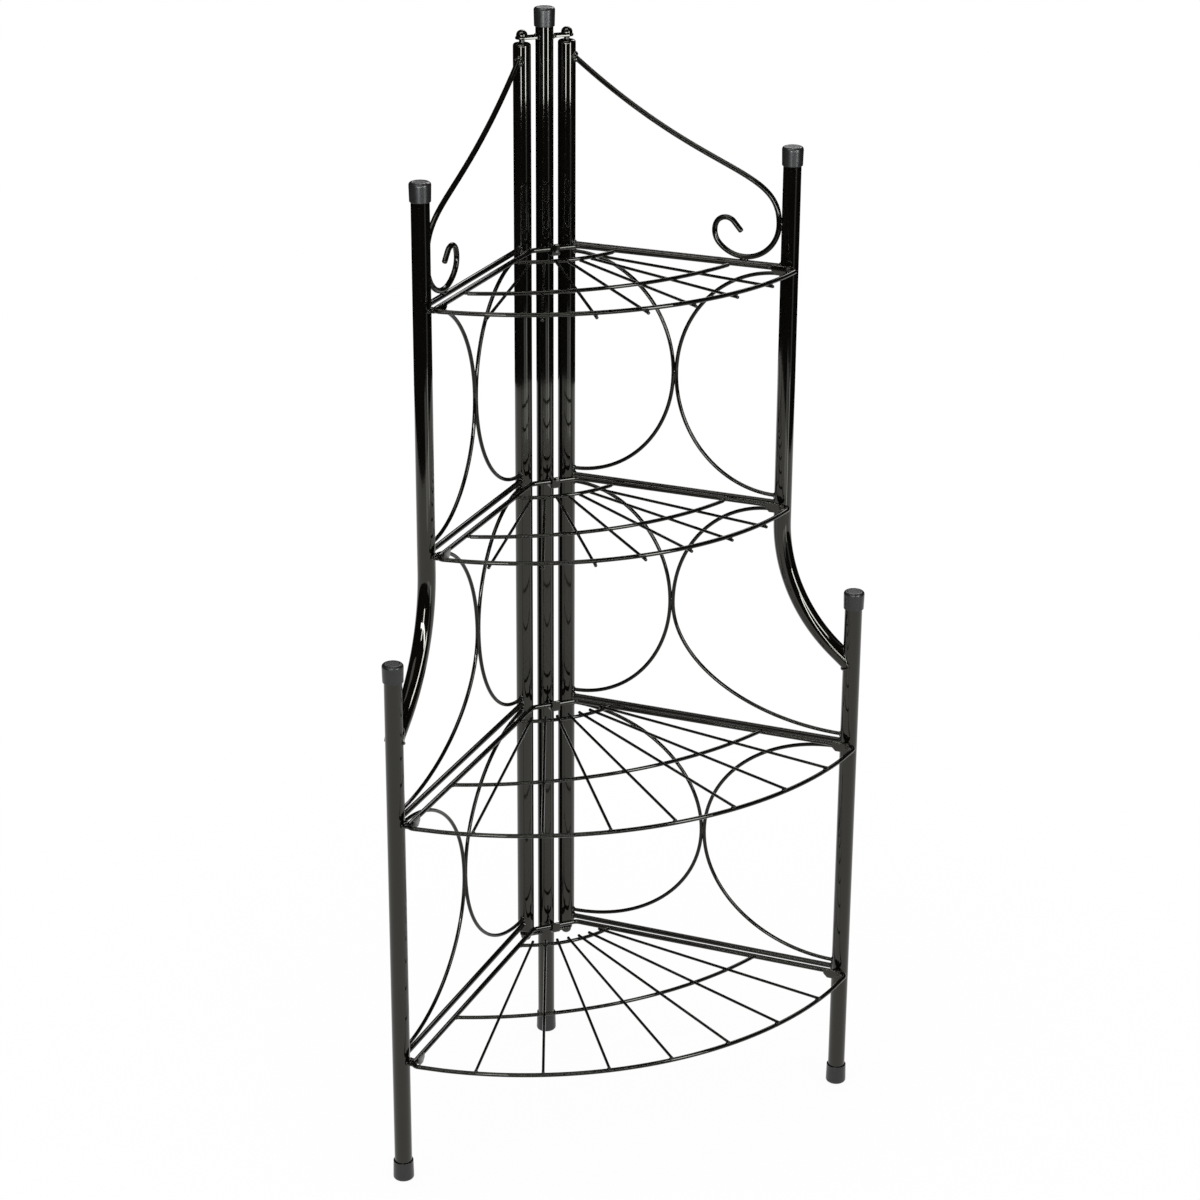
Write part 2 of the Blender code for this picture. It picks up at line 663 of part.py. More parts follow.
def build_shelf_frame(number, parent):
    """The outer wire of a shelf (rear rod, side wires, thinner front arc) with its corner plates."""
    rear = REAR_ROD_OUT * math.sqrt(2)
    front = bowed_arc(*SHELF_ARCS[number]["front"], 0.0)
    corners = [(0, -rear, 0), front[0], front[-1], (rear, 0, 0)]
    left_rear = rounded_corner(corners[3], corners[0], corners[1], REAR_BEND_RADIUS)
    left_front = rounded_corner(corners[0], front[0], front[1], FRONT_BEND_RADIUS)
    right_front = rounded_corner(front[-2], front[-1], corners[3], FRONT_BEND_RADIUS)
    right_rear = rounded_corner(corners[2], corners[3], corners[0], REAR_BEND_RADIUS)
    thin = FRONT_ARC_DIAMETER / SIDE_WIRE_DIAMETER
    points = left_rear + left_front + front[1:-1] + right_front + right_rear
    fronts = len(left_front) + len(front) - 2 + len(right_front)
    thickness = [1.0] * len(left_rear) + [thin] * fronts + [1.0] * len(right_rear)
    thickness[len(left_rear)] = 1.0
    thickness[len(left_rear) + fronts - 1] = 1.0
    name = f"shelf_{number + 1}_frame"
    rim = wire_curve(f"{name}_wire", points, SIDE_WIRE_DIAMETER, closed=True, thickness=thickness)
    welded(name, [rim, *corner_plates(number)], parent)


def build_shelf_grid(number, parent):
    """Two cross arcs and the radial spokes of a shelf, welded together.

    The spokes lie under the arcs on the two upper shelves and over them on the two lower ones, a fit gap
    clear of the front arc.
    """
    arcs = SHELF_ARCS[number]
    over = 1 if arcs is LOWER_ARCS else -1
    spoke_z = over * ((FRONT_ARC_DIAMETER + SPOKE_DIAMETER) / 2 + FIT_GAP)
    arc_z = spoke_z - over * ((CROSS_ARC_DIAMETER + SPOKE_DIAMETER) / 2 - WELD_OVERLAP)
    stop = SIDE_WIRE_DIAMETER / 2 + FIT_GAP + CROSS_ARC_DIAMETER / 4
    name = f"shelf_{number + 1}"
    curves = []
    for arc in ("inner", "middle"):
        points = bowed_arc(*arcs[arc], arc_z, stop)
        curves.append(wire_curve(f"{name}_{arc}_arc", points, CROSS_ARC_DIAMETER))
    for spoke in range(1, SPOKES + 1):
        angle = math.pi / 2 * spoke / (SPOKES + 1)
        way = Vector((math.sin(angle), -math.cos(angle), 0))
        inner = way * (reach_of_arc(*arcs["inner"], angle) - SPOKE_OVERHANG)
        outer = way * (reach_of_arc(*arcs["front"], angle) + SPOKE_OVERHANG)
        ends = [(spot.x, spot.y, spoke_z) for spot in (inner, outer)]
        curves.append(wire_curve(f"{name}_spoke_{spoke}", ends, SPOKE_DIAMETER))
    welded(f"{name}_grid", curves, parent)


def build_shelves():
    """Four shelves, each with its hook on the corner post."""
    for number, rail_z in enumerate(RAIL_HEIGHTS):
        axis = axis_empty(f"shelf_{number + 1}_axis", (0, 0, rail_z + FRAME_RISE))
        build_shelf_frame(number, axis)
        build_shelf_grid(number, axis)
        build_shelf_hook(number + 1, rail_z)


STAND, CUTTERS = start_scene()
build_corner_post()
build_hinges()
for panel_side, panel_inside in SIDES.items():
    build_panel(panel_side, panel_inside)
build_shelves()
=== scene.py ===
"""Looks of the corner plant stand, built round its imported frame.

The file is laid out as an add-on: sizes and colours are properties, each group of pieces has an operator, and
main() runs them in order. Every piece is a stack of rings worked out with numpy, in metres, on the solids'
axes: origin on the floor under the corner post, +Z up, right panel along +X and left panel along -Y.
"""

import math

import bpy
import numpy as np
from bpy.props import FloatProperty, FloatVectorProperty, PointerProperty
from mathutils import Matrix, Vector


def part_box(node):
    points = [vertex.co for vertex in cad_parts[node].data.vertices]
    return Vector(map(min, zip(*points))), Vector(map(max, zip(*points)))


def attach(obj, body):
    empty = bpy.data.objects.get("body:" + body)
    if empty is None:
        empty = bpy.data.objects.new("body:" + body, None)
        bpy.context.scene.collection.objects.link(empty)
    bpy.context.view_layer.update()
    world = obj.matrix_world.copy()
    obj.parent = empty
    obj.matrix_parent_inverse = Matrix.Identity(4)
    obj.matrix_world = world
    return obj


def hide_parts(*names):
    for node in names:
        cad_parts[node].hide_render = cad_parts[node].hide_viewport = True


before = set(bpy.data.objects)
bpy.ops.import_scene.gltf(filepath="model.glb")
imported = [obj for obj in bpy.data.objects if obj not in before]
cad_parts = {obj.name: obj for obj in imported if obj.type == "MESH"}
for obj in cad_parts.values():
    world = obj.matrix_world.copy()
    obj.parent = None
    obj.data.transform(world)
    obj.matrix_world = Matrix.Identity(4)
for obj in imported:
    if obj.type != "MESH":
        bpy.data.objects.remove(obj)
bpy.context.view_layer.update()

bl_info = {
    "name": "Corner plant stand looks",
    "version": (1, 0, 0),
    "blender": (4, 5, 0),
    "location": "3D View > Sidebar > Plant Stand",
    "description": "Painted tubes, wires, caps and weld beads round the frame of a corner plant stand",
    "category": "Object",
}

UP = np.array((0.0, 0.0, 1.0))
BISECTOR = np.array((1.0, -1.0, 0.0)) / math.sqrt(2)
ACROSS = np.array((1.0, 1.0, 0.0)) / math.sqrt(2)


def middle_of(node):
    """Centre of a solid's box."""
    low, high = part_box(node)
    return (np.array(low) + np.array(high)) / 2


def size_of(node):
    """Edge lengths of a solid's box."""
    low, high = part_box(node)
    return np.array(high) - np.array(low)


def top_of(node):
    """Highest point of a solid."""
    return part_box(node)[1].z


def bottom_of(node):
    """Lowest point of a solid."""
    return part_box(node)[0].z


# Places read from the frame
SIDES = ("left", "right")
RAIL_NUMBERS = (1, 2, 3, 4)
CORNER = float(middle_of("right_inner_tube")[0])
ROW_PITCH = CORNER * math.sqrt(2)
UPPER_REACH = float(middle_of("right_upper_cap")[0]) - CORNER
LOWER_REACH = float(middle_of("right_lower_cap")[0]) - CORNER
RAIL_REACHES = (UPPER_REACH, UPPER_REACH, LOWER_REACH, LOWER_REACH)
RAIL_HEIGHTS = tuple(float(middle_of(f"right_rail_{number}")[2]) for number in RAIL_NUMBERS)
INNER_TUBE_TOP = top_of("right_inner_tube")
INNER_TUBE_BOTTOM = bottom_of("right_inner_tube")
CAP_HEIGHT = float(size_of("corner_post_cap")[2])
FOOT_HEIGHT = float(size_of("corner_post_foot")[2])

# Sizes that the solids share
TUBE_WALL = 0.001
BEND_RADIUS = 0.184
BEND_ANGLE = math.radians(50.0)
BEND_JOIN_Z = 0.520
CAP_TOP_THICKNESS = 0.003
FOOT_FLOOR = 0.004
TAB_WIDTH = 0.014
TAB_THICKNESS = 0.0025
TAB_GAP = 0.004
BOLT_RADIUS = 0.003
BOLT_DEPTH = 0.014
DOME_RADIUS = 0.006
DOME_SKIRT = 0.0015
DOME_HEIGHT = 0.007
PLUG_THICKNESS = 0.004
FRAME_RISE = 0.003
REAR_ROD_OUT = 0.027
REAR_BEND_RADIUS = 0.009
FRONT_BEND_RADIUS = 0.008
SPOKES = 7
SPOKE_OVERHANG = 0.004
HOOK_WIDTH = 0.009
HOOK_DEPTH = 0.0045
HOOK_LIP_THICKNESS = 0.0025
HOOK_LIP_RISE = 0.006
HOOK_PLAY = 0.0008
BRACKET_LENGTH = 0.014
BRACKET_SHEET = 0.002
BRACKET_OVERREACH = 0.0012
BRACKET_CHAMFER = 0.003
PLATE_LENGTH = 0.016
PLATE_SHEET = 0.002
PLATE_SET_BACK = 0.005
PLATE_RISE = 0.0035
SCROLL_START_DROP = 0.0192
SCROLL_LEAN = math.radians(37.3)
SCROLL_START_PULL = 0.825
SCROLL_LANDING_PULL = 0.397
SCROLL_BOW_RADIUS = 0.038
SCROLL_BOW_TURN = math.radians(137.0)
SCROLL_CURLS = ((0.0203, math.radians(63.0)), (0.0119, math.radians(119.0)))
ORNAMENT_RAIL_GAP = 0.0028
FIT_GAP = 0.0003
WELD_OVERLAP = 0.0008
UPPER_ARCS = {"front": (0.286, 0.273), "middle": (0.212, 0.185), "inner": (0.082, 0.071)}
LOWER_ARCS = {"front": (0.369, 0.356), "middle": (0.260, 0.224), "inner": (0.082, 0.071)}
SHELF_ARCS = (UPPER_ARCS, UPPER_ARCS, LOWER_ARCS, LOWER_ARCS)

# Lengths and soft edges of the looks alone
SCROLL_TAIL = 0.0135
SCROLL_ROOT = 0.005
PLATE_DROP = 0.0070
PLATE_CHAMFER = 0.0046
PLATE_EDGE = 0.0007
BRACKET_EDGE = 0.0006
TAB_EDGE = 0.0006
SHEET_EDGE = 0.0005
TUBE_EDGE = 0.0003
TUBE_ROLL = 0.0026
BOLT_TIP = 0.0006
BOLT_CORNERS = (0, 0.0006, 0.0002, 0.0005, 0)
HOOK_CORNERS = (0.0008, HOOK_DEPTH - 0.0002, 0.0011, 0.0011, 0.0012, 0.0006)
MOULD_CENTRE = 0.0008
CAP_DISH = 0.0003
CAP_DISC = 0.0070
CAP_RIM = 0.0076
CAP_BAND = 0.0040
CAP_CORNERS = (0, 0.0004, 0.0003, 0.0005, 0.0003, 0.0030, 0.0004, 0.0004, 0)
FOOT_BAND = 0.0035
FOOT_BEVEL = (0.0006, 0.0022)
FOOT_CORNERS = (0, 0.0024, 0.0010, 0.0002, 0.0002, 0.0002, 0.0004, 0)
WIRE_SOFTNESS = 0.4
SCROLL_SOFTNESS = 0.7
SPOKE_SOFTNESS = 0.75
BEAD_SOFTNESS = 1.0
SPOKE_STEPS = (0.0, 0.0016, 0.0040, 0.0044)
SPOKE_SWELL = (1.1, 1.12, 1.0, 1.0)

# Weld beads, as shares of the bead radius, and how they run
RAIL_BEAD = 1.0
ORNAMENT_BEAD = 0.85
SCROLL_BEAD = 1.6
COPE_BEAD = 1.3
FITTING_BEAD = 0.8
TAB_BEAD = 0.75
BRACKET_BEAD_REACH = 0.45
TAB_BEAD_REACH = 0.92
HOOK_BEAD_INSET = 0.0006
BEAD_LIFT = 0.0004
RIPPLES = ((0.14, 3, 1.0), (0.10, 5, 2.3), (0.07, 9, -1.0))
RIPPLE_SHIFT = 1.7

# Weld spots, as three half axes
ORNAMENT_SPOT = (0.0020, 0.0019, 0.0060)
SCROLL_LUMP = (0.0042, 0.0034, 0.0036)
SCROLL_LUMP_BACK = 0.0010
LANDING_SPOT = (0.0016, 0.0026, 0.0065)
REST_SPOT = (0.0050, 0.0036, 0.0026)
CROSSING_SPOT = (0.0023, 0.0021, 0.0013)
ARC_END_SPOT = (0.0026, 0.0026, 0.0019)

# Paints: the colour they take, roughness, depth of the orange peel and specular level
PAINTS = {
    "tube_paint": ("tube_paint", 0.03, 0.007, 0.5),
    "wire_paint": ("wire_paint", 0.04, 0.004, 0.28),
    "fitting_paint": ("tube_paint", 0.06, 0.03, 0.5),
}
PAINT_IOR = 1.5
PAINT_TINT = (0.99, 0.97, 0.87, 1.0)
PAINT_SPREAD = 0.25
PAINT_ROUGHENING = (0.02, 0.01, 0.06)
PEEL_DEPTH = 0.0006
PEEL_GRAIN = 0.04
SPECK_BAND = (0.66, 0.80)
SPECK_SHARE = 0.25

# Plastic
PLASTIC_IOR = 1.46
PLASTIC_ROUGHNESS = 0.27
PLASTIC_SPREAD = 0.2
PLASTIC_ROUGHENING = (0.05, 0.03, 0.25)
PLASTIC_BUMP = 0.012
PLASTIC_GRAIN_DEPTH = 0.0003
SCUFF_HEIGHT = 0.006
SCUFF_BAND = (0.35, 0.7)
SCUFF_SHARE = 0.5
SCUFF_PALER = 4

# Patterns: lumps per metre, detail and, where it isn't a half, roughness
PAINT_DRIFT = (16.0, 3.0)
PAINT_LUMPS = (260.0, 2.0)
PAINT_GRAIN = (1400.0, 2.0, 0.6)
PAINT_SPECKS = (820.0, 1.0)
PLASTIC_DRIFT = (60.0, 2.0)
PLASTIC_GRAIN = (2600.0, 2.0, 0.6)
PLASTIC_SCUFF = (420.0, 3.0)

# Fineness of the surfaces
TUBE_SIDES = 40
WIRE_SIDES = 18
THIN_SIDES = 14
BEAD_SIDES = 10
BEAD_STEPS = 36
DROP_SIDES = 9
DROP_STEPS = 6
TURN_SIDES = 48
CURVE_STEPS = 64
BEND_STEPS = 28
FILLET_STEPS = 6
END_STEPS = 4
WIRE_STAY = 0.1
SPAN_SHARE = 0.9
FLAT_MARGIN = 0.0004
TAB_STEPS = 96
DOME_STEPS = 10
BRACKET_BEAD_STEPS = 10
TAB_BEAD_STEPS = 14
HOOK_BEAD_STEPS = 8
FRONT_BEND_SKIP = 4
SMALLEST_SINE = 0.001


class PlantStandSizes(bpy.types.PropertyGroup):
    """Sections of the tubes, rods and wires, and the size of the welds."""

    tube_diameter: FloatProperty(
        name="Tube",
        description="Diameter of the tubes",
        default=float(size_of("corner_post")[0]),
        unit="LENGTH",
    )
    cap_diameter: FloatProperty(
        name="Cap",
        description="Largest diameter of caps and feet",
        default=float(size_of("corner_post_cap")[0]),
        unit="LENGTH",
    )
    cap_mouth_diameter: FloatProperty(
        name="Cap mouth",
        description="Diameter of caps and feet at their open end",
        default=0.0218,
        unit="LENGTH",
    )
    rail_diameter: FloatProperty(
        name="Rail", description="Diameter of the rails", default=0.006, unit="LENGTH"
    )
    side_wire_diameter: FloatProperty(
        name="Shelf side wire",
        description="Diameter of a shelf's rear rod and side wires",
        default=0.0055,
        unit="LENGTH",
    )
    front_arc_diameter: FloatProperty(
        name="Shelf front arc", description="Diameter of a shelf's front arc", default=0.0046, unit="LENGTH"
    )
    cross_arc_diameter: FloatProperty(
        name="Shelf cross arc", description="Diameter of a shelf's cross arcs", default=0.0042, unit="LENGTH"
    )
    spoke_diameter: FloatProperty(
        name="Spoke", description="Diameter of the spokes", default=0.0032, unit="LENGTH"
    )
    ornament_diameter: FloatProperty(
        name="Ornament", description="Diameter of the half-round wires", default=0.0042, unit="LENGTH"
    )
    scroll_diameter: FloatProperty(
        name="Scroll", description="Diameter of the scrolls", default=0.0058, unit="LENGTH"
    )
    bead_radius: FloatProperty(
        name="Weld bead", description="Radius of a weld bead", default=0.0015, unit="LENGTH"
    )


class PlantStandColours(bpy.types.PropertyGroup):
    """Colours of the finishes."""

    tube_paint: FloatVectorProperty(
        name="Tube paint",
        description="Gloss paint on the tubes",
        default=(0.0030, 0.0027, 0.0022),
        subtype="COLOR",
    )
    wire_paint: FloatVectorProperty(
        name="Wire paint",
        description="Gloss paint on rods and wires",
        default=(0.0036, 0.0032, 0.0026),
        subtype="COLOR",
    )
    dust: FloatVectorProperty(
        name="Dust",
        description="Fine dust in the paint's hollows",
        default=(0.030, 0.027, 0.022),
        subtype="COLOR",
    )
    plastic: FloatVectorProperty(
        name="Plastic",
        description="Moulded caps and feet",
        default=(0.013, 0.013, 0.0125),
        subtype="COLOR",
    )
    floor: FloatVectorProperty(
        name="Floor",
        description="Paper under the stand",
        default=(0.92, 0.92, 0.92),
        subtype="COLOR",
    )


class PlantStandStudio(bpy.types.PropertyGroup):
    """Light of the studio."""

    overhead: FloatProperty(
        name="Overhead", description="Softbox above the stand", default=14.0, unit="POWER"
    )
    key: FloatProperty(
        name="Key", description="Large softbox at the front left", default=6.0, unit="POWER"
    )
    sheen: FloatProperty(
        name="Sheen", description="Softbox seen in reflections only", default=8.0, unit="POWER"
    )
    rear: FloatProperty(
        name="Rear", description="Softbox behind, seen in reflections only", default=26.0, unit="POWER"
    )
    strip: FloatProperty(
        name="Strips", description="Brightness of the strip lights", default=1.0, min=0.0
    )
    ambient: FloatProperty(
        name="Ambient", description="Light of the surroundings", default=0.85, min=0.0
    )


def unit(vectors):
    """Vectors scaled to length 1."""
    return vectors / np.linalg.norm(vectors, axis=-1, keepdims=True)


def even_angles(count):
    """Angles of a full turn in even steps."""
    return 2 * math.pi * np.arange(count) / count


def skin(rings, ends="pointed"):
    """A surface over a stack of rings (rings, points, 3): neighbours along and across the stack make quads.

    Open ends are closed by a fan to the ring's middle (pointed) or by one face (flat), and joined ties the
    last ring to the first. Faces point outwards where rings run anticlockwise about the stack's direction.
    """
    rows, columns = rings.shape[:2]
    row = np.arange(rows if ends == "joined" else rows - 1)[:, None]
    column = np.arange(columns)[None, :]
    beside = (column + 1) % columns
    here = row * columns
    above = (row + 1) % rows * columns
    corners = (here + column, here + beside, above + beside, above + column)
    faces = [np.stack(np.broadcast_arrays(*corners), axis=-1).reshape(-1, 4)]
    points = rings.reshape(-1, 3)
    last = (rows - 1) * columns
    if ends == "flat":
        faces += [column[:, ::-1], column + last]
    elif ends == "pointed":
        fan = np.column_stack([column[0], beside[0]])
        faces.append(np.column_stack([np.full(columns, len(points)), fan[:, ::-1]]))
        faces.append(np.column_stack([np.full(columns, len(points) + 1), fan + last]))
        points = np.vstack([points, rings[0].mean(axis=0), rings[-1].mean(axis=0)])
    return points, faces


def join(surfaces):
    """Several surfaces as one, with their faces renumbered."""
    points = []
    faces = []
    count = 0
    for some_points, some_faces in surfaces:
        points.append(some_points)
        faces += [block + count for block in some_faces]
        count += len(some_points)
    return np.vstack(points), faces


def headings(path, closed=False):
    """Unit tangents of a path: the mean of the ways into and out of each point."""
    if closed:
        out = unit(np.roll(path, -1, axis=0) - path)
        return unit(out + np.roll(out, 1, axis=0))
    steps = unit(np.diff(path, axis=0))
    return unit(np.vstack([steps[:1], steps]) + np.vstack([steps, steps[-1:]]))


def round_rings(path, heading, normal, radius, sides):
    """Round sections on a flat path: path + radius * (cos a * side + sin a * normal).

    The side is the cross product of normal and heading.
    """
    angle = even_angles(sides)
    side = np.cross(normal, heading)
    outward = np.cos(angle)[None, :, None] * side[:, None, :] + np.sin(angle)[None, :, None] * normal
    return path[:, None, :] + np.broadcast_to(radius, len(path))[:, None, None] * outward


def wire(path, normal, radius, sides=WIRE_SIDES, softness=WIRE_SOFTNESS):
    """A round wire along an open flat path, its ends rounded over a share (softness) of its radius.

    At an end, for a from 0 to a right angle, the ring lies softness * radius * (1 - cos a) in from the tip,
    and its radius is short of the wire's by softness * radius * (1 - sin a). One more full ring behind each
    end keeps the shading of a straight run straight.
    """
    heading = headings(path)
    radius = np.broadcast_to(radius, len(path)).astype(float)
    bow = np.linspace(0, math.pi / 2, END_STEPS + 1)
    back = np.append(softness * (1 - np.cos(bow)), softness + WIRE_STAY)
    short = np.append(1 - softness * (1 - np.sin(bow)), 1.0)
    spans = SPAN_SHARE * np.linalg.norm(np.diff(path, axis=0), axis=1)
    lead = path[0] + heading[0] * np.minimum(radius[0] * back, spans[0])[:, None]
    tail = (path[-1] - heading[-1] * np.minimum(radius[-1] * back, spans[-1])[:, None])[::-1]
    points = np.vstack([lead, path[1:-1], tail])
    first, last = (np.tile(way, (len(back), 1)) for way in (heading[0], heading[-1]))
    ways = np.vstack([first, heading[1:-1], last])
    sizes = np.concatenate([radius[0] * short, radius[1:-1], (radius[-1] * short)[::-1]])
    return skin(round_rings(points, ways, normal, sizes, sides))


def closed_wire(path, normal, radius, sides=WIRE_SIDES):
    """A round wire along a closed flat path."""
    return skin(round_rings(path, headings(path, closed=True), normal, radius, sides), "joined")


def turned(profile, centre=(0.0, 0.0, 0.0), ends="pointed", sides=TURN_SIDES):
    """A profile of (radius, height) points, run upwards on its outer side, turned about an upright axis."""
    angle = even_angles(sides)
    circle = np.stack([np.cos(angle), np.sin(angle), np.zeros(sides)], axis=-1)
    rings = profile[:, 0, None, None] * circle + profile[:, 1, None, None] * UP + np.asarray(centre)
    return skin(rings, ends)


def stayed(line, closed, margin=FLAT_MARGIN):
    """A line with two more points near the ends of each span, so that flats stay flat when shaded."""
    start = line if closed else line[:-1]
    end = np.roll(line, -1, axis=0) if closed else line[1:]
    length = np.linalg.norm(end - start, axis=1, keepdims=True)
    step = (end - start) / length * np.minimum(margin, length / 3)
    spread = np.stack([start, start + step, end - step], axis=1).reshape(-1, line.shape[1])
    return spread if closed else np.vstack([spread, line[-1:]])


def rounded(corners, radii, closed=False, steps=FILLET_STEPS):
    """A line whose corners give way to arcs of their own radii, tangent to both neighbours.

    Each arc's points are its centre plus the two end radii weighed by sin((1 - t) * turn) and sin(t * turn),
    over sin(turn), for t from 0 to 1. The ends of an open line stay as they are.
    """
    corners = np.asarray(corners, float)
    radii = np.broadcast_to(radii, len(corners)).astype(float)[:, None]
    back = unit(np.roll(corners, 1, axis=0) - corners)
    ahead = unit(np.roll(corners, -1, axis=0) - corners)
    half = 0.5 * np.arccos(np.clip((back * ahead).sum(axis=1, keepdims=True), -1, 1))
    inner = slice(None) if closed else slice(1, -1)
    corner, back, ahead, half, radii = (part[inner] for part in (corners, back, ahead, half, radii))
    centre = corner + unit(back + ahead) * radii / np.sin(half)
    first = corner + back * radii / np.tan(half) - centre
    last = corner + ahead * radii / np.tan(half) - centre
    turn = (math.pi - 2 * half)[:, None]
    share = np.linspace(0, 1, steps + 1)[None, :, None]
    arcs = np.sin((1 - share) * turn) * first[:, None] + np.sin(share * turn) * last[:, None]
    arcs = (centre[:, None] + arcs / np.sin(turn)).reshape(-1, corners.shape[1])
    return arcs if closed else np.vstack([corners[:1], arcs, corners[-1:]])


def arc(centre, radius, start, end, steps):
    """Points on a circle from one angle to another."""
    angle = np.linspace(start, end, steps + 1)
    return np.asarray(centre) + radius * np.stack([np.cos(angle), np.sin(angle)], axis=-1)


def prism(outline, origin, across, upright, thickness, edge=SHEET_EDGE):
    """A flat outline, anticlockwise in (across, upright), with a thickness and rounded edges.

    Near each face, for a from 0 to a right angle, the outline is drawn in by edge * (1 - sin a) along its own
    normals and lies edge * (1 - cos a) in from the face.
    """
    way = unit(np.roll(outline, -1, axis=0) - np.roll(outline, 1, axis=0))
    normal = np.stack([way[:, 1], -way[:, 0]], axis=-1)
    bow = np.linspace(0, math.pi / 2, END_STEPS + 1)
    inset = edge * (1 - np.sin(bow))
    depth = edge * (1 - np.cos(bow)) - thickness / 2
    inset = np.concatenate([inset, inset[::-1]])
    depth = np.concatenate([depth, -depth[::-1]])
    flat = outline[None] - inset[:, None, None] * normal[None]
    through = np.cross(across, upright)
    rings = origin + flat[..., :1] * across + flat[..., 1:] * upright + depth[:, None, None] * through
    return skin(rings, "flat")


def drop(centre, half_axes, *ways):
    """A round weld spot: an ellipsoid with half axes of given lengths and ways.

    Its points are sin t * (cos a * first + sin a * second) - cos t * third.
    """
    first, second, third = (length * way for length, way in zip(half_axes, ways))
    t = math.pi * (np.arange(DROP_STEPS) + 0.5) / DROP_STEPS
    a = even_angles(DROP_SIDES)
    waist = np.cos(a)[:, None] * first + np.sin(a)[:, None] * second
    return skin(centre + np.sin(t)[:, None, None] * waist - np.cos(t)[:, None, None] * third)


def ripple(angle, seed):
    """The uneven run of a weld by hand: a sum of three sines round 1."""
    return 1 + sum(depth * np.sin(waves * angle + shift * seed) for depth, waves, shift in RIPPLES)


def meet_post(points, away, axis, post_radius):
    """Points slid along a heading until they lie on the far skin of an upright post.

    The slide t solves |offset + t * away| = post_radius in plan, with the larger root.
    """
    offset = (points - axis)[..., :2]
    way = away[:2]
    along = offset @ way
    excess = (offset**2).sum(axis=-1) - post_radius**2
    root = np.sqrt(np.maximum(along**2 - (way @ way) * excess, 0))
    return points + ((root - along) / (way @ way))[..., None] * away


def bead(foot, away, rod_radius, axis, post_radius, radius, seed):
    """A weld bead round the end of a rod on an upright post.

    Its centre line is where the rod's skin meets the post's. Round that line runs a circle whose radius
    ripples, spanned by the way out from the rod and the rod's own heading.
    """
    level = unit(np.cross(away, UP))
    angle = even_angles(BEAD_STEPS)
    outward = np.cos(angle)[:, None] * level + np.sin(angle)[:, None] * np.cross(away, level)
    line = meet_post(foot + rod_radius * outward, away, axis, post_radius)
    turn = even_angles(BEAD_SIDES)
    section = np.cos(turn)[None, :, None] * outward[:, None] - np.sin(turn)[None, :, None] * away
    return skin(line[:, None] + (radius * ripple(angle, seed))[:, None, None] * section, "joined")


def bead_line(path, normal, radius, seed):
    """A straight or bowed weld run with round ends and a rippling radius."""
    angle = np.linspace(0, 2 * math.pi, len(path))
    return wire(path, normal, radius * ripple(angle, seed), sides=BEAD_SIDES, softness=BEAD_SOFTNESS)


class Panel:
    """Places points of one side panel by reach from its inner tube, height and way in from its plane."""

    def __init__(self, side):
        right = side == "right"
        self.side = side
        self.body = f"{side}_panel"
        self.along = np.array((1.0, 0.0, 0.0) if right else (0.0, -1.0, 0.0))
        self.inward = np.array((0.0, -1.0, 0.0) if right else (1.0, 0.0, 0.0))
        self.axis = np.array((CORNER, CORNER, 0.0)) * (1 if right else -1)

    def place(self, reach, height, inward=0.0):
        """Points at a reach along the panel, a height and a way inwards."""
        reach, height, inward = np.broadcast_arrays(reach, height, inward)
        flat = reach[..., None] * self.along + inward[..., None] * self.inward
        return self.axis + flat + np.asarray(height, float)[..., None] * UP

    def trace(self, line):
        """Points of a line given as (reach, height)."""
        return self.place(line[:, 0], line[:, 1])


PANELS = tuple(Panel(side) for side in SIDES)


class Value:
    """A shader socket that takes part in arithmetic: each operator adds one Math node."""

    def __init__(self, look, socket):
        self.look = look
        self.socket = socket

    def math(self, operation, first, second):
        """Adds a Math node between two values."""
        return self.look.node("ShaderNodeMath", {"operation": operation}, {0: first, 1: second})

    def __add__(self, other):
        return self.math("ADD", self, other)

    def __sub__(self, other):
        return self.math("SUBTRACT", self, other)

    def __rsub__(self, other):
        return self.math("SUBTRACT", other, self)

    def __mul__(self, other):
        return self.math("MULTIPLY", self, other)

    __radd__ = __add__
    __rmul__ = __mul__


class Look:
    """A node tree of a material or of the world; node() adds any node to it."""

    def __init__(self, owner):
        owner.use_nodes = True
        self.owner = owner
        self.tree = owner.node_tree

    def node(self, kind, settings=None, sockets=None, output=0):
        """Adds a node: settings first, then the values or links of its sockets. Returns one output."""
        made = self.tree.nodes.new(kind)
        for name, value in (settings or {}).items():
            setattr(made, name, value)
        for key, value in (sockets or {}).items():
            self.feed(made.inputs[key], value)
        return Value(self, made.outputs[output])

    def feed(self, socket, value):
        """Links a value to a socket, or sets the socket to a plain number or colour."""
        if isinstance(value, Value):
            self.tree.links.new(value.socket, socket)
        else:
            socket.default_value = value

    def noise(self, place, scale, detail=2.0, roughness=0.5):
        """Noise from 0 to 1 with a number of lumps per metre."""
        sockets = {"Vector": place, "Scale": scale, "Detail": detail, "Roughness": roughness}
        return self.node("ShaderNodeTexNoise", {}, sockets, "Fac")

    def band(self, value, low, high):
        """A value spread from 0 at low to 1 at high, smoothly."""
        sockets = {"Value": value, "From Min": low, "From Max": high}
        return self.node("ShaderNodeMapRange", {"interpolation_type": "SMOOTHSTEP"}, sockets)

    def mixed(self, share, first, second):
        """A colour between two others."""
        colours = [value if isinstance(value, Value) else (*value, 1.0) for value in (first, second)]
        return self.node(
            "ShaderNodeMix", {"data_type": "RGBA"}, {0: share, 6: colours[0], 7: colours[1]}, output=2
        )

    def finish(self, fixed, changing):
        """Sets a material's fixed shader sockets and links those that change over the surface."""
        shader = self.tree.nodes["Principled BSDF"]
        for name, value in {**fixed, **changing}.items():
            self.feed(shader.inputs[name], value)
        return self.owner


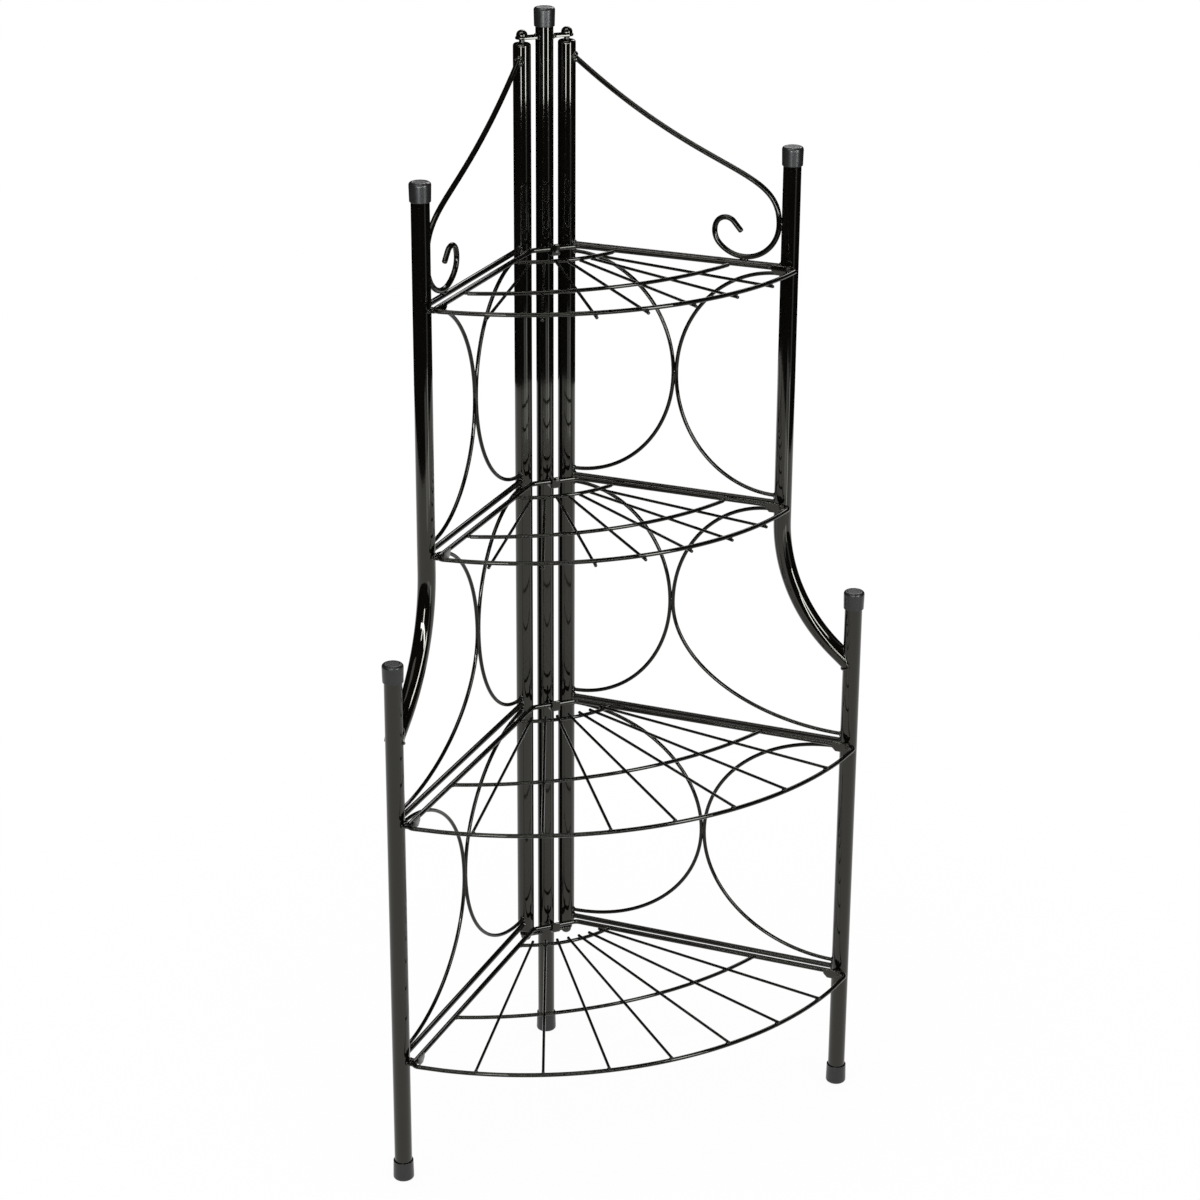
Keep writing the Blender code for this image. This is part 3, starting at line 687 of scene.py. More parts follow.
def shades(colour, spread):
    """A darker and a lighter shade of a colour."""
    return [[share * (1 + way * spread) for share in colour] for way in (-1, 1)]


def roughened(roughness, shares, patterns):
    """A roughness to which each pattern adds its own share."""
    for share, pattern in zip(shares, patterns):
        roughness = roughness + share * pattern
    return roughness


def gloss_paint(name, colour, dust, gloss, peel, shine):
    """Gloss powder paint: slow drifts of tone and gloss, orange peel and fine dust in its hollows."""
    look = Look(bpy.data.materials.new(name))
    place = look.node("ShaderNodeTexCoord", output="Object")
    drift = look.noise(place, *PAINT_DRIFT)
    lumps = look.noise(place, *PAINT_LUMPS)
    grain = look.noise(place, *PAINT_GRAIN)
    specks = look.band(look.noise(place, *PAINT_SPECKS), *SPECK_BAND)
    tone = look.mixed(drift, *shades(colour, PAINT_SPREAD))
    tone = look.mixed(specks * SPECK_SHARE, tone, dust)
    roughness = roughened(gloss, PAINT_ROUGHENING, (drift, grain, specks))
    height = lumps + PEEL_GRAIN * grain
    bump = look.node("ShaderNodeBump", {}, {"Strength": peel, "Distance": PEEL_DEPTH, "Height": height})
    fixed = {"IOR": PAINT_IOR, "Specular IOR Level": shine, "Specular Tint": PAINT_TINT}
    changing = {"Base Color": tone, "Roughness": roughness, "Normal": bump}
    return look.finish(fixed, changing)


def satin_plastic(name, colour):
    """Moulded plastic with a fine spark-eroded grain, paler and rougher where it rubs on the floor."""
    look = Look(bpy.data.materials.new(name))
    place = look.node("ShaderNodeTexCoord", output="Object")
    height = look.node("ShaderNodeSeparateXYZ", {}, {"Vector": place}, "Z")
    drift = look.noise(place, *PLASTIC_DRIFT)
    grain = look.noise(place, *PLASTIC_GRAIN)
    rubbed = look.band(height, SCUFF_HEIGHT, 0.0)
    scuff = rubbed * look.band(look.noise(place, *PLASTIC_SCUFF), *SCUFF_BAND)
    tone = look.mixed(drift, *shades(colour, PLASTIC_SPREAD))
    tone = look.mixed(scuff * SCUFF_SHARE, tone, [share * SCUFF_PALER for share in colour])
    roughness = roughened(PLASTIC_ROUGHNESS, PLASTIC_ROUGHENING, (drift, grain, scuff))
    relief = {"Strength": PLASTIC_BUMP, "Distance": PLASTIC_GRAIN_DEPTH, "Height": grain}
    bump = look.node("ShaderNodeBump", {}, relief)
    return look.finish({"IOR": PLASTIC_IOR}, {"Base Color": tone, "Roughness": roughness, "Normal": bump})


def finish_for(slot):
    """The finish of one of the record's slots, made when it is first asked for."""
    name = f"{slot}_finish"
    found = bpy.data.materials.get(name)
    if found:
        return found
    colours = bpy.context.scene.plant_stand_colours
    if slot not in PAINTS:
        return satin_plastic(name, tuple(colours.plastic))
    paint, *surface = PAINTS[slot]
    return gloss_paint(name, tuple(getattr(colours, paint)), tuple(colours.dust), *surface)


def add_piece(name, surface, body, slot, *nodes):
    """Makes a surface a piece: a mesh with its finish, tied to its body and standing for its solids."""
    points, faces = surface
    mesh = bpy.data.meshes.new(name)
    mesh.from_pydata(points.tolist(), [], [face for block in faces for face in block.tolist()])
    mesh.shade_smooth()
    mesh.materials.append(finish_for(slot))
    piece = bpy.data.objects.new(name, mesh)
    bpy.context.scene.collection.objects.link(piece)
    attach(piece, body)
    if nodes:
        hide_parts(*nodes)
    return piece


def tube_end_under(cap):
    """Height of a tube's end inside a cap."""
    return top_of(cap) - CAP_TOP_THICKNESS - FIT_GAP


def hollow_tube(radius, bottom, top, centre):
    """A straight open tube with softened ends."""
    bore = radius - TUBE_WALL
    corners = [(radius, bottom), (radius, top), (bore, top), (bore, bottom)]
    return turned(stayed(rounded(corners, TUBE_EDGE, closed=True), True), centre, "joined")


def inner_tube(radius, centre):
    """The tube that a panel hangs on: both ends plugged, rolled over at the rim and bored for the bolt."""
    bore = radius - TUBE_WALL
    hole = BOLT_RADIUS + FIT_GAP
    top, bottom = INNER_TUBE_TOP, INNER_TUBE_BOTTOM
    corners = [
        (radius, bottom),
        (radius, top),
        (hole, top),
        (hole, top - PLUG_THICKNESS),
        (bore, top - PLUG_THICKNESS),
        (bore, bottom + PLUG_THICKNESS),
        (hole, bottom + PLUG_THICKNESS),
        (hole, bottom),
    ]
    radii = [TUBE_ROLL] * 2 + [TUBE_EDGE] * 6
    return turned(stayed(rounded(corners, radii, closed=True), True), centre, "joined")


def upper_post_line():
    """The upper post's axis as (reach, height): straight, an arc of BEND_RADIUS, straight to the join."""
    run = LOWER_REACH - UPPER_REACH - BEND_RADIUS * (1 - math.cos(BEND_ANGLE))
    bend_end = BEND_JOIN_Z + run / math.tan(BEND_ANGLE)
    centre = (UPPER_REACH + BEND_RADIUS, bend_end + BEND_RADIUS * math.sin(BEND_ANGLE))
    bend = arc(centre, BEND_RADIUS, math.pi, math.pi + BEND_ANGLE, BEND_STEPS)
    return np.vstack([(UPPER_REACH, tube_end_under("right_upper_cap")), bend, (LOWER_REACH, BEND_JOIN_Z)])


def upper_post(panel, radius):
    """The upper post as a hollow tube whose lower end is coped to the lower post's skin."""
    path = panel.trace(upper_post_line())
    heading = headings(path)
    axis = panel.place(LOWER_REACH, 0.0)
    walls = []
    for wall_radius in (radius, radius - TUBE_WALL):
        rings = round_rings(path, heading, panel.inward, wall_radius, TUBE_SIDES)
        cope = meet_post(rings[-1], -heading[-1], axis, radius + FIT_GAP)
        ends = (rings[0] + FLAT_MARGIN * heading[0], cope - FLAT_MARGIN * heading[-1])
        walls.append(np.stack([rings[0], ends[0], *rings[1:-1], ends[1], cope]))
    return skin(np.concatenate([walls[0], walls[1][::-1]]), "joined")


class PLANTSTAND_OT_tubes(bpy.types.Operator):
    """Add the corner post, the inner tubes and the outer posts"""

    bl_idname = "plant_stand.tubes"
    bl_label = "Tubes"

    def execute(self, context):
        radius = context.scene.plant_stand_sizes.tube_diameter / 2
        foot = FOOT_FLOOR + FIT_GAP
        post = hollow_tube(radius, foot, tube_end_under("corner_post_cap"), (0.0, 0.0, 0.0))
        add_piece("corner_post_painted", post, "corner_post", "tube_paint", "corner_post")
        for panel in PANELS:
            centre = panel.place(LOWER_REACH, 0.0)
            made = {
                "inner_tube": inner_tube(radius, panel.axis),
                "upper_post": upper_post(panel, radius),
                "lower_post": hollow_tube(radius, foot, tube_end_under("right_lower_cap"), centre),
            }
            for part, surface in made.items():
                node = f"{panel.side}_{part}"
                add_piece(f"{node}_painted", surface, panel.body, "tube_paint", node)
        return {"FINISHED"}


def end_cap(radius, mouth, bore, top, centre):
    """A moulded cap: hollow below, narrower at its mouth, its top edge rolled over to a dished disc."""
    low = top - CAP_HEIGHT
    ceiling = top - CAP_TOP_THICKNESS
    corners = [
        (MOULD_CENTRE, ceiling),
        (bore, ceiling),
        (bore, low),
        (mouth, low),
        (radius, top - CAP_BAND),
        (radius, top),
        (CAP_RIM, top),
        (CAP_DISC, top - CAP_DISH),
        (MOULD_CENTRE, top - CAP_DISH),
    ]
    return turned(stayed(rounded(corners, CAP_CORNERS), False), centre)


def end_foot(radius, mouth, bore, centre):
    """A moulded foot: a cup that widens downwards to a rounded sole, with a bevelled mouth round the tube."""
    rim, bevel = FOOT_BEVEL
    corners = [
        (MOULD_CENTRE, 0.0),
        (radius, 0.0),
        (radius, FOOT_BAND),
        (mouth, FOOT_HEIGHT),
        (mouth - rim, FOOT_HEIGHT),
        (bore, FOOT_HEIGHT - bevel),
        (bore, FOOT_FLOOR),
        (MOULD_CENTRE, FOOT_FLOOR),
    ]
    return turned(stayed(rounded(corners, FOOT_CORNERS), False), centre)


class PLANTSTAND_OT_caps_and_feet(bpy.types.Operator):
    """Add the moulded caps and feet"""

    bl_idname = "plant_stand.caps_and_feet"
    bl_label = "Caps and Feet"

    def execute(self, context):
        sizes = context.scene.plant_stand_sizes
        moulding = (sizes.cap_diameter / 2, sizes.cap_mouth_diameter / 2, sizes.tube_diameter / 2 + FIT_GAP)
        caps = [("corner_post_cap", "corner_post", np.zeros(3))]
        feet = [("corner_post_foot", "corner_post", np.zeros(3))]
        for panel in PANELS:
            caps.append((f"{panel.side}_upper_cap", panel.body, panel.place(UPPER_REACH, 0.0)))
            caps.append((f"{panel.side}_lower_cap", panel.body, panel.place(LOWER_REACH, 0.0)))
            feet.append((f"{panel.side}_foot", panel.body, panel.place(LOWER_REACH, 0.0)))
        for node, body, centre in caps:
            surface = end_cap(*moulding, top_of(node), centre)
            add_piece(f"{node}_moulded", surface, body, "cap_plastic", node)
        for node, body, centre in feet:
            add_piece(f"{node}_moulded", end_foot(*moulding, centre), body, "foot_plastic", node)
        return {"FINISHED"}


def hinge_tab(panel, height, post_radius):
    """A flat tab as a rounded section carried round its bolt hole.

    At each angle about the bolt the section runs from the hole to the tab's outline: a half circle away from
    the post, straight flanks, and the post's own skin, whichever comes first.
    """
    far = 1.0
    angle = even_angles(TAB_STEPS)
    half = TAB_WIDTH / 2
    flank = half / np.maximum(np.abs(np.sin(angle)), SMALLEST_SINE)
    seat = post_radius + FIT_GAP
    depth = seat**2 - (ROW_PITCH * np.sin(angle)) ** 2
    to_post = np.where(depth > 0, -ROW_PITCH * np.cos(angle) - np.sqrt(np.maximum(depth, 0)), far)
    reach = np.where(np.cos(angle) > 0, half, np.minimum(flank, np.where(to_post > 0, to_post, far)))
    hole = BOLT_RADIUS + FIT_GAP
    thick = TAB_THICKNESS / 2
    box = [(0.0, thick), (far, thick), (far, -thick), (0.0, -thick)]
    section = stayed(rounded(box, TAB_EDGE, closed=True), True)
    across = section[:, 0]
    offset = np.where(across < far / 2, hole + across, reach[:, None] + across - far)
    way = unit(panel.axis)
    side = np.cross(UP, way)
    radial = np.cos(angle)[:, None] * way + np.sin(angle)[:, None] * side
    rings = panel.axis + offset[..., None] * radial[:, None] + (height + section[:, 1])[None, :, None] * UP
    return skin(rings, "joined")


def hinge_bolt(centre, seat, up):
    """A bolt with a domed head outside its tab: shank, head, skirt and a dome of half an ellipse."""
    tip = -(FIT_GAP + TAB_THICKNESS + TAB_GAP + BOLT_DEPTH)
    dome = arc((0.0, 0.0), 1.0, 0.0, math.pi / 2, DOME_STEPS)[:-1] * (DOME_RADIUS, DOME_HEIGHT - DOME_SKIRT)
    shank = [(BOLT_TIP, tip), (BOLT_RADIUS, tip), (BOLT_RADIUS, 0.0)]
    head = [(DOME_RADIUS, 0.0), (DOME_RADIUS, DOME_SKIRT)]
    profile = stayed(rounded(shank + head, BOLT_CORNERS), False)
    profile = np.vstack([profile, dome[1:] + (0.0, DOME_SKIRT)])
    if up < 0:
        profile = (profile * (1, -1))[::-1]
    return turned(profile + (0.0, seat), centre)


class PLANTSTAND_OT_hinges(bpy.types.Operator):
    """Add the hinge tabs and their domed bolts"""

    bl_idname = "plant_stand.hinges"
    bl_label = "Hinges"

    def execute(self, context):
        radius = context.scene.plant_stand_sizes.tube_diameter / 2
        for panel in PANELS:
            for level, edge, up in (("upper", INNER_TUBE_TOP, 1), ("lower", INNER_TUBE_BOTTOM, -1)):
                node = f"{panel.side}_{level}_hinge"
                height = edge + up * (TAB_GAP + TAB_THICKNESS / 2)
                tab = hinge_tab(panel, height, radius)
                add_piece(f"{node}_tab_painted", tab, "corner_post", "fitting_paint", f"{node}_tab")
                bolt = hinge_bolt(panel.axis, height + up * (TAB_THICKNESS / 2 + FIT_GAP), up)
                add_piece(f"{node}_bolt_painted", bolt, "corner_post", "fitting_paint", f"{node}_bolt")
        return {"FINISHED"}


def scroll_line(radius, tube_radius, rail_radius):
    """The scroll as (reach, height): a Bezier sweep to the post, a bow on the rail, two curls and a tail.

    Each arc after the sweep is tighter than the one before and tangent to it.
    """
    lean = np.array((math.cos(SCROLL_LEAN), -math.sin(SCROLL_LEAN)))
    start = np.array((tube_radius + FIT_GAP - radius * lean[1], INNER_TUBE_TOP - SCROLL_START_DROP))
    bow_z = RAIL_HEIGHTS[0] + rail_radius + FIT_GAP + radius + SCROLL_BOW_RADIUS
    centre = np.array((UPPER_REACH - tube_radius - FIT_GAP - radius - SCROLL_BOW_RADIUS, bow_z))
    landing = centre + (SCROLL_BOW_RADIUS, 0)
    knee = start + lean * SCROLL_START_PULL * (landing[0] - start[0])
    shoulder = landing + (0, SCROLL_LANDING_PULL * (start[1] - landing[1]))
    t = np.linspace(0, 1, CURVE_STEPS + 1)[:, None]
    u = 1 - t
    line = [start * u**3 + knee * 3 * u * u * t + shoulder * 3 * u * t * t + landing * t**3]
    line.append(arc(centre, SCROLL_BOW_RADIUS, 0, -SCROLL_BOW_TURN, CURVE_STEPS // 2)[1:])
    radius_now = SCROLL_BOW_RADIUS
    heading = -SCROLL_BOW_TURN
    for next_radius, turn in SCROLL_CURLS:
        centre = centre + (radius_now - next_radius) * np.array((math.cos(heading), math.sin(heading)))
        line.append(arc(centre, next_radius, heading, heading - turn, CURVE_STEPS // 3)[1:])
        radius_now = next_radius
        heading -= turn
    line.append(line[-1][-1:] + SCROLL_TAIL * np.array([[math.sin(heading), -math.cos(heading)]]))
    return np.vstack(line)


def rooted(line):
    """A line whose start is moved back along itself, into the tube that it is welded to."""
    start = line[:1] - SCROLL_ROOT * unit(line[1:2] - line[:1])
    return np.vstack([start, line[1:]])


def ornament_lines(tier, tube_radius, rail_radius, radius):
    """Two half-round wires back to back as (reach, height): quarter ellipses that meet at mid span."""
    clear = rail_radius + ORNAMENT_RAIL_GAP + radius
    upper = RAIL_HEIGHTS[tier] - clear
    lower = RAIL_HEIGHTS[tier + 1] + clear
    apart = radius - WELD_OVERLAP / 2
    touch = RAIL_REACHES[tier] / 2
    inner = tube_radius + FIT_GAP
    angle = np.linspace(math.pi / 2, -math.pi / 2, CURVE_STEPS + 1)
    height = (upper + lower) / 2 + (upper - lower) / 2 * np.sin(angle)
    outer = np.where(angle >= 0, RAIL_REACHES[tier], RAIL_REACHES[tier + 1]) - inner
    lines = []
    for base, middle in ((inner, touch - apart), (outer, touch + apart)):
        lines.append(np.stack([base + (middle - base) * np.cos(angle), height], axis=-1))
    return lines


def panel_radii(sizes):
    """Radii of a panel's tubes, rails, scroll and ornaments."""
    return [getattr(sizes, f"{part}_diameter") / 2 for part in ("tube", "rail", "scroll", "ornament")]


class PLANTSTAND_OT_rails_and_scrolls(bpy.types.Operator):
    """Add the rails, scrolls and half-round ornaments of both panels"""

    bl_idname = "plant_stand.rails_and_scrolls"
    bl_label = "Rails, Scrolls and Ornaments"

    def execute(self, context):
        tube, rail, scroll, ornament = panel_radii(context.scene.plant_stand_sizes)
        near = tube + FIT_GAP
        for panel in PANELS:
            for number, height, reach in zip(RAIL_NUMBERS, RAIL_HEIGHTS, RAIL_REACHES):
                path = panel.place(np.array((near, reach - near)), height)
                node = f"{panel.side}_rail_{number}"
                add_piece(f"{node}_painted", wire(path, panel.inward, rail), panel.body, "wire_paint", node)
            path = panel.trace(rooted(scroll_line(scroll, tube, rail)))
            node = f"{panel.side}_scroll"
            surface = wire(path, panel.inward, scroll, softness=SCROLL_SOFTNESS)
            add_piece(f"{node}_painted", surface, panel.body, "wire_paint", node)
            for tier in range(len(RAIL_HEIGHTS) - 1):
                lines = ornament_lines(tier, tube, rail, ornament)
                wires = [wire(panel.trace(line), panel.inward, ornament) for line in lines]
                node = f"{panel.side}_ornament_{tier + 1}"
                add_piece(f"{node}_painted", join(wires), panel.body, "wire_paint", node)
        return {"FINISHED"}


def hook_outline(tube_radius, wire_radius):
    """A J-shaped hook as (out, height): a saddle under the rear rod and a lip in front of it."""
    back = tube_radius + FIT_GAP
    lip = REAR_ROD_OUT + wire_radius + HOOK_PLAY
    front = lip + HOOK_LIP_THICKNESS
    saddle = -wire_radius - FIT_GAP
    corners = [
        (back, saddle - HOOK_DEPTH),
        (front, saddle - HOOK_DEPTH),
        (front, HOOK_LIP_RISE),
        (lip, HOOK_LIP_RISE),
        (lip, saddle),
        (back, saddle),
    ]
    return rounded(corners, HOOK_CORNERS, closed=True)


def bracket_outline(tube_radius):
    """A flat bracket as (along the rail, inward): straight at the post, with chamfered front corners."""
    back = tube_radius + FIT_GAP
    front = CORNER + BRACKET_OVERREACH
    shoulder = front - BRACKET_CHAMFER
    half = BRACKET_LENGTH / 2
    nose = half - BRACKET_CHAMFER
    corners = [(-half, back), (half, back), (half, shoulder)]
    corners += [(nose, front), (-nose, front), (-half, shoulder)]
    return stayed(rounded(corners, BRACKET_EDGE, closed=True), True)


class PLANTSTAND_OT_supports(bpy.types.Operator):
    """Add the hooks and brackets that carry the shelves"""

    bl_idname = "plant_stand.supports"
    bl_label = "Hooks and Brackets"

    def execute(self, context):
        sizes = context.scene.plant_stand_sizes
        tube = sizes.tube_diameter / 2
        side_wire = sizes.side_wire_diameter / 2
        hook = hook_outline(tube, side_wire)
        bracket = bracket_outline(tube)
        under = FRAME_RISE - side_wire - FIT_GAP - BRACKET_SHEET / 2
        for number, height, reach in zip(RAIL_NUMBERS, RAIL_HEIGHTS, RAIL_REACHES):
            level = (height + FRAME_RISE) * UP
            node = f"shelf_{number}_hook"
            surface = prism(hook, level, BISECTOR, UP, HOOK_WIDTH)
            add_piece(f"{node}_painted", surface, "corner_post", "fitting_paint", node)
            for panel in PANELS:
                node = f"{panel.side}_bracket_{number}"
                origin = panel.place(reach, height + under)
                surface = prism(bracket, origin, panel.along, panel.inward, BRACKET_SHEET)
                add_piece(f"{node}_painted", surface, panel.body, "fitting_paint", node)
        return {"FINISHED"}


def arc_circle(end_radius, midpoint):
    """Radius and set-back of a shelf arc's circle, whose centre lies on the bisector."""
    half_chord = end_radius / math.sqrt(2)
    bulge = midpoint - half_chord
    radius = (half_chord**2 + bulge**2) / (2 * bulge)
    return radius, midpoint - radius


def bowed_arc(end_radius, midpoint, shorten=0.0):
    """Points of a shelf arc in plan, from the left side line to the right, cut short at both lines."""
    radius, set_back = arc_circle(end_radius, midpoint)
    end = math.asin(end_radius / math.sqrt(2) / radius)
    end -= shorten / (radius * math.cos(math.pi / 4 - end))
    angle = np.linspace(-end, end, CURVE_STEPS + 1)[:, None]
    return (set_back + radius * np.cos(angle)) * BISECTOR + radius * np.sin(angle) * ACROSS


def reach_of_arc(end_radius, midpoint, angle):
    """Distance from the corner axis at which radial lines, at angles from the left side, meet a shelf arc."""
    radius, set_back = arc_circle(end_radius, midpoint)
    lean = angle - math.pi / 4
    return set_back * np.cos(lean) + np.sqrt(radius**2 - (set_back * np.sin(lean)) ** 2)


def frame_line(arcs, side_radius, front_radius):
    """A shelf's outer wire in plan and its radii: rear rod, side wires and a thinner front arc."""
    rear = REAR_ROD_OUT * math.sqrt(2)
    front = bowed_arc(*arcs["front"])
    skip = FRONT_BEND_SKIP
    left, right = np.array((0.0, -rear, 0.0)), np.array((rear, 0.0, 0.0))
    bends = [
        rounded([right, left, front[0]], REAR_BEND_RADIUS)[1:-1],
        rounded([left, front[0], front[skip - 1]], FRONT_BEND_RADIUS)[1:-1],
        front[skip:-skip],
        rounded([front[-skip], front[-1], right], FRONT_BEND_RADIUS)[1:-1],
        rounded([front[-1], right, left], REAR_BEND_RADIUS)[1:-1],
    ]
    slim = np.linspace(side_radius, front_radius, len(bends[1]))
    radii = [
        np.full(len(bends[0]), side_radius),
        slim,
        np.full(len(bends[2]), front_radius),
        slim[::-1],
        np.full(len(bends[4]), side_radius),
    ]
    return np.vstack(bends), np.concatenate(radii)


def plate_outline():
    """A corner plate as (along, height): upright ends and chamfered lower corners."""
    half = PLATE_LENGTH / 2
    tip = half - PLATE_CHAMFER
    side = PLATE_CHAMFER - PLATE_DROP
    corners = [(-tip, -PLATE_DROP), (tip, -PLATE_DROP), (half, side)]
    corners += [(half, PLATE_RISE), (-half, PLATE_RISE), (-half, side)]
    return stayed(rounded(corners, PLATE_EDGE, closed=True), True)


class Shelf:
    """Heights and lines of one shelf."""

    def __init__(self, number, sizes):
        self.arcs = SHELF_ARCS[number - 1]
        self.plate_reach = RAIL_REACHES[number - 1] - PLATE_SET_BACK
        self.level = RAIL_HEIGHTS[number - 1] + FRAME_RISE
        self.side = sizes.side_wire_diameter / 2
        self.front = sizes.front_arc_diameter / 2
        self.cross = sizes.cross_arc_diameter / 2
        self.spoke = sizes.spoke_diameter / 2
        over = 1 if self.arcs is LOWER_ARCS else -1
        self.spoke_z = self.level + over * (self.front + self.spoke + FIT_GAP)
        self.arc_z = self.spoke_z - over * (self.cross + self.spoke - WELD_OVERLAP)
        self.stop = self.side + FIT_GAP + self.cross / 2
        self.angles = math.pi / 2 * np.arange(1, SPOKES + 1) / (SPOKES + 1)
        self.ways = np.stack([np.sin(self.angles), -np.cos(self.angles), np.zeros(SPOKES)], axis=-1)

    def reaches(self, arc_name):
        """Distances from the corner axis at which the spokes cross one of the arcs."""
        return reach_of_arc(*self.arcs[arc_name], self.angles)

    def plates(self):
        """The plates on the inner side of the side wires, one by each post."""
        inward = CORNER + self.side + PLATE_SHEET / 2 - WELD_OVERLAP
        plates = []
        for panel in PANELS:
            spot = panel.place(self.plate_reach, self.level, inward)
            plates.append(prism(plate_outline(), spot, panel.along, UP, PLATE_SHEET))
        return join(plates)

    def grid(self):
        """Two cross arcs and the radial spokes, each spoke a little thicker at its tips."""
        surfaces = []
        for name in ("inner", "middle"):
            path = bowed_arc(*self.arcs[name], self.stop) + self.arc_z * UP
            surfaces.append(wire(path, UP, self.cross, sides=THIN_SIDES))
        starts = self.reaches("inner") - SPOKE_OVERHANG
        ends = self.reaches("front") + SPOKE_OVERHANG
        swell = self.spoke * np.array(SPOKE_SWELL + SPOKE_SWELL[::-1])
        steps = np.array(SPOKE_STEPS)
        for way, start, end in zip(self.ways, starts, ends):
            along = np.concatenate([start + steps, end - steps[::-1]])
            path = along[:, None] * way + self.spoke_z * UP
            surfaces.append(wire(path, UP, swell, sides=THIN_SIDES, softness=SPOKE_SOFTNESS))
        return join(surfaces)


class PLANTSTAND_OT_shelves(bpy.types.Operator):
    """Add the four wire shelves"""

    bl_idname = "plant_stand.shelves"
    bl_label = "Shelves"

    def execute(self, context):
        for number in RAIL_NUMBERS:
            shelf = Shelf(number, context.scene.plant_stand_sizes)
            line, radii = frame_line(shelf.arcs, shelf.side, shelf.front)
            line = stayed(line, True) + shelf.level * UP
            rim = closed_wire(line, UP, np.stack([radii, radii, np.roll(radii, -1)], axis=-1).ravel())
            node = f"shelf_{number}"
            add_piece(f"{node}_frame_painted", rim, node, "wire_paint", f"{node}_frame")
            add_piece(f"{node}_grid_painted", shelf.grid(), node, "wire_paint", f"{node}_grid")
            add_piece(f"{node}_plates_painted", shelf.plates(), node, "fitting_paint")
        return {"FINISHED"}


def panel_welds(panel, sizes):
    """Weld beads of one panel: at rail, ornament and scroll ends, at the coped post and at the brackets."""
    size = sizes.bead_radius
    tube, rail, scroll, ornament = panel_radii(sizes)
    side = np.cross(UP, panel.along)
    welds = []

    def round_bead(reach, height, away, rod_radius, share, axis_reach):
        axis = panel.place(axis_reach, 0.0)
        foot = panel.place(reach, height)
        seed = len(welds) * RIPPLE_SHIFT
        welds.append(bead(foot, away, rod_radius, axis, tube, size * share, seed))

    for height, reach in zip(RAIL_HEIGHTS, RAIL_REACHES):
        round_bead(tube, height, panel.along, rail, RAIL_BEAD, 0.0)
        round_bead(reach - tube, height, -panel.along, rail, RAIL_BEAD, reach)
    for tier in range(len(RAIL_HEIGHTS) - 1):
        lines = ornament_lines(tier, tube, rail, ornament)
        for end in (0, -1):
            reach = RAIL_REACHES[tier] if end == 0 else RAIL_REACHES[tier + 1]
            round_bead(tube, lines[0][end, 1], panel.along, ornament, ORNAMENT_BEAD, 0.0)
            round_bead(reach - tube, lines[1][end, 1], -panel.along, ornament, ORNAMENT_BEAD, reach)
        touch = panel.place(RAIL_REACHES[tier] / 2, (lines[0][0, 1] + lines[0][-1, 1]) / 2)
        welds.append(drop(touch, ORNAMENT_SPOT, panel.along, side, UP))
    line = scroll_line(scroll, tube, rail)
    lean = math.cos(SCROLL_LEAN) * panel.along - math.sin(SCROLL_LEAN) * UP
    round_bead(line[0, 0], line[0, 1], lean, scroll, SCROLL_BEAD, 0.0)
    lump = panel.place(line[0, 0] - SCROLL_LUMP_BACK, line[0, 1], scroll)
    welds.append(drop(lump, SCROLL_LUMP, lean, side, np.cross(lean, side)))
    landing = panel.place(UPPER_REACH - tube, line[CURVE_STEPS, 1])
    welds.append(drop(landing, LANDING_SPOT, panel.along, side, UP))
    rest = line[:, 1].argmin()
    spot = panel.place(line[rest, 0], RAIL_HEIGHTS[0] + rail)
    welds.append(drop(spot, REST_SPOT, panel.along, side, UP))
    run = upper_post_line()
    away = panel.place(*run[-2]) - panel.place(*run[-1])
    round_bead(run[-1, 0], run[-1, 1], unit(away), tube, COPE_BEAD, LOWER_REACH)
    along = np.linspace(-1, 1, BRACKET_BEAD_STEPS) * BRACKET_LENGTH * BRACKET_BEAD_REACH
    depth = (np.sqrt(tube**2 - along**2) + tube) / 2 + BEAD_LIFT
    for height, reach in zip(RAIL_HEIGHTS, RAIL_REACHES):
        top = height + FRAME_RISE - sizes.side_wire_diameter / 2 - FIT_GAP
        for level in (top, top - BRACKET_SHEET):
            path = panel.place(reach + along, level, depth)
            welds.append(bead_line(path, UP, size * FITTING_BEAD, len(welds)))
    return join(welds)


def corner_welds(sizes):
    """Weld beads on the corner post: over and under each hinge tab, and beside each hook."""
    tube = sizes.tube_diameter / 2
    size = sizes.bead_radius
    welds = []
    spread = np.linspace(-1, 1, TAB_BEAD_STEPS) * math.asin(TAB_WIDTH / 2 / tube) * TAB_BEAD_REACH
    for panel in PANELS:
        way = unit(panel.axis)
        rim = np.cos(spread)[:, None] * way + np.sin(spread)[:, None] * np.cross(UP, way)
        for edge, up in ((INNER_TUBE_TOP, 1), (INNER_TUBE_BOTTOM, -1)):
            for face in (0, 1):
                height = edge + up * (TAB_GAP + face * TAB_THICKNESS)
                path = (tube + BEAD_LIFT) * rim + height * UP
                welds.append(bead_line(path, UP, size * TAB_BEAD, len(welds)))
    for height in RAIL_HEIGHTS:
        top = height + FRAME_RISE - sizes.side_wire_diameter / 2 - FIT_GAP
        ends = (top - HOOK_BEAD_INSET, top - HOOK_DEPTH + HOOK_BEAD_INSET)
        run = np.linspace(*ends, HOOK_BEAD_STEPS)[:, None] * UP
        for offset in (-HOOK_WIDTH / 2, HOOK_WIDTH / 2):
            path = run + (math.sqrt(tube**2 - offset**2) + BEAD_LIFT) * BISECTOR + offset * ACROSS
            welds.append(bead_line(path, BISECTOR, size * FITTING_BEAD, len(welds)))
    return join(welds)


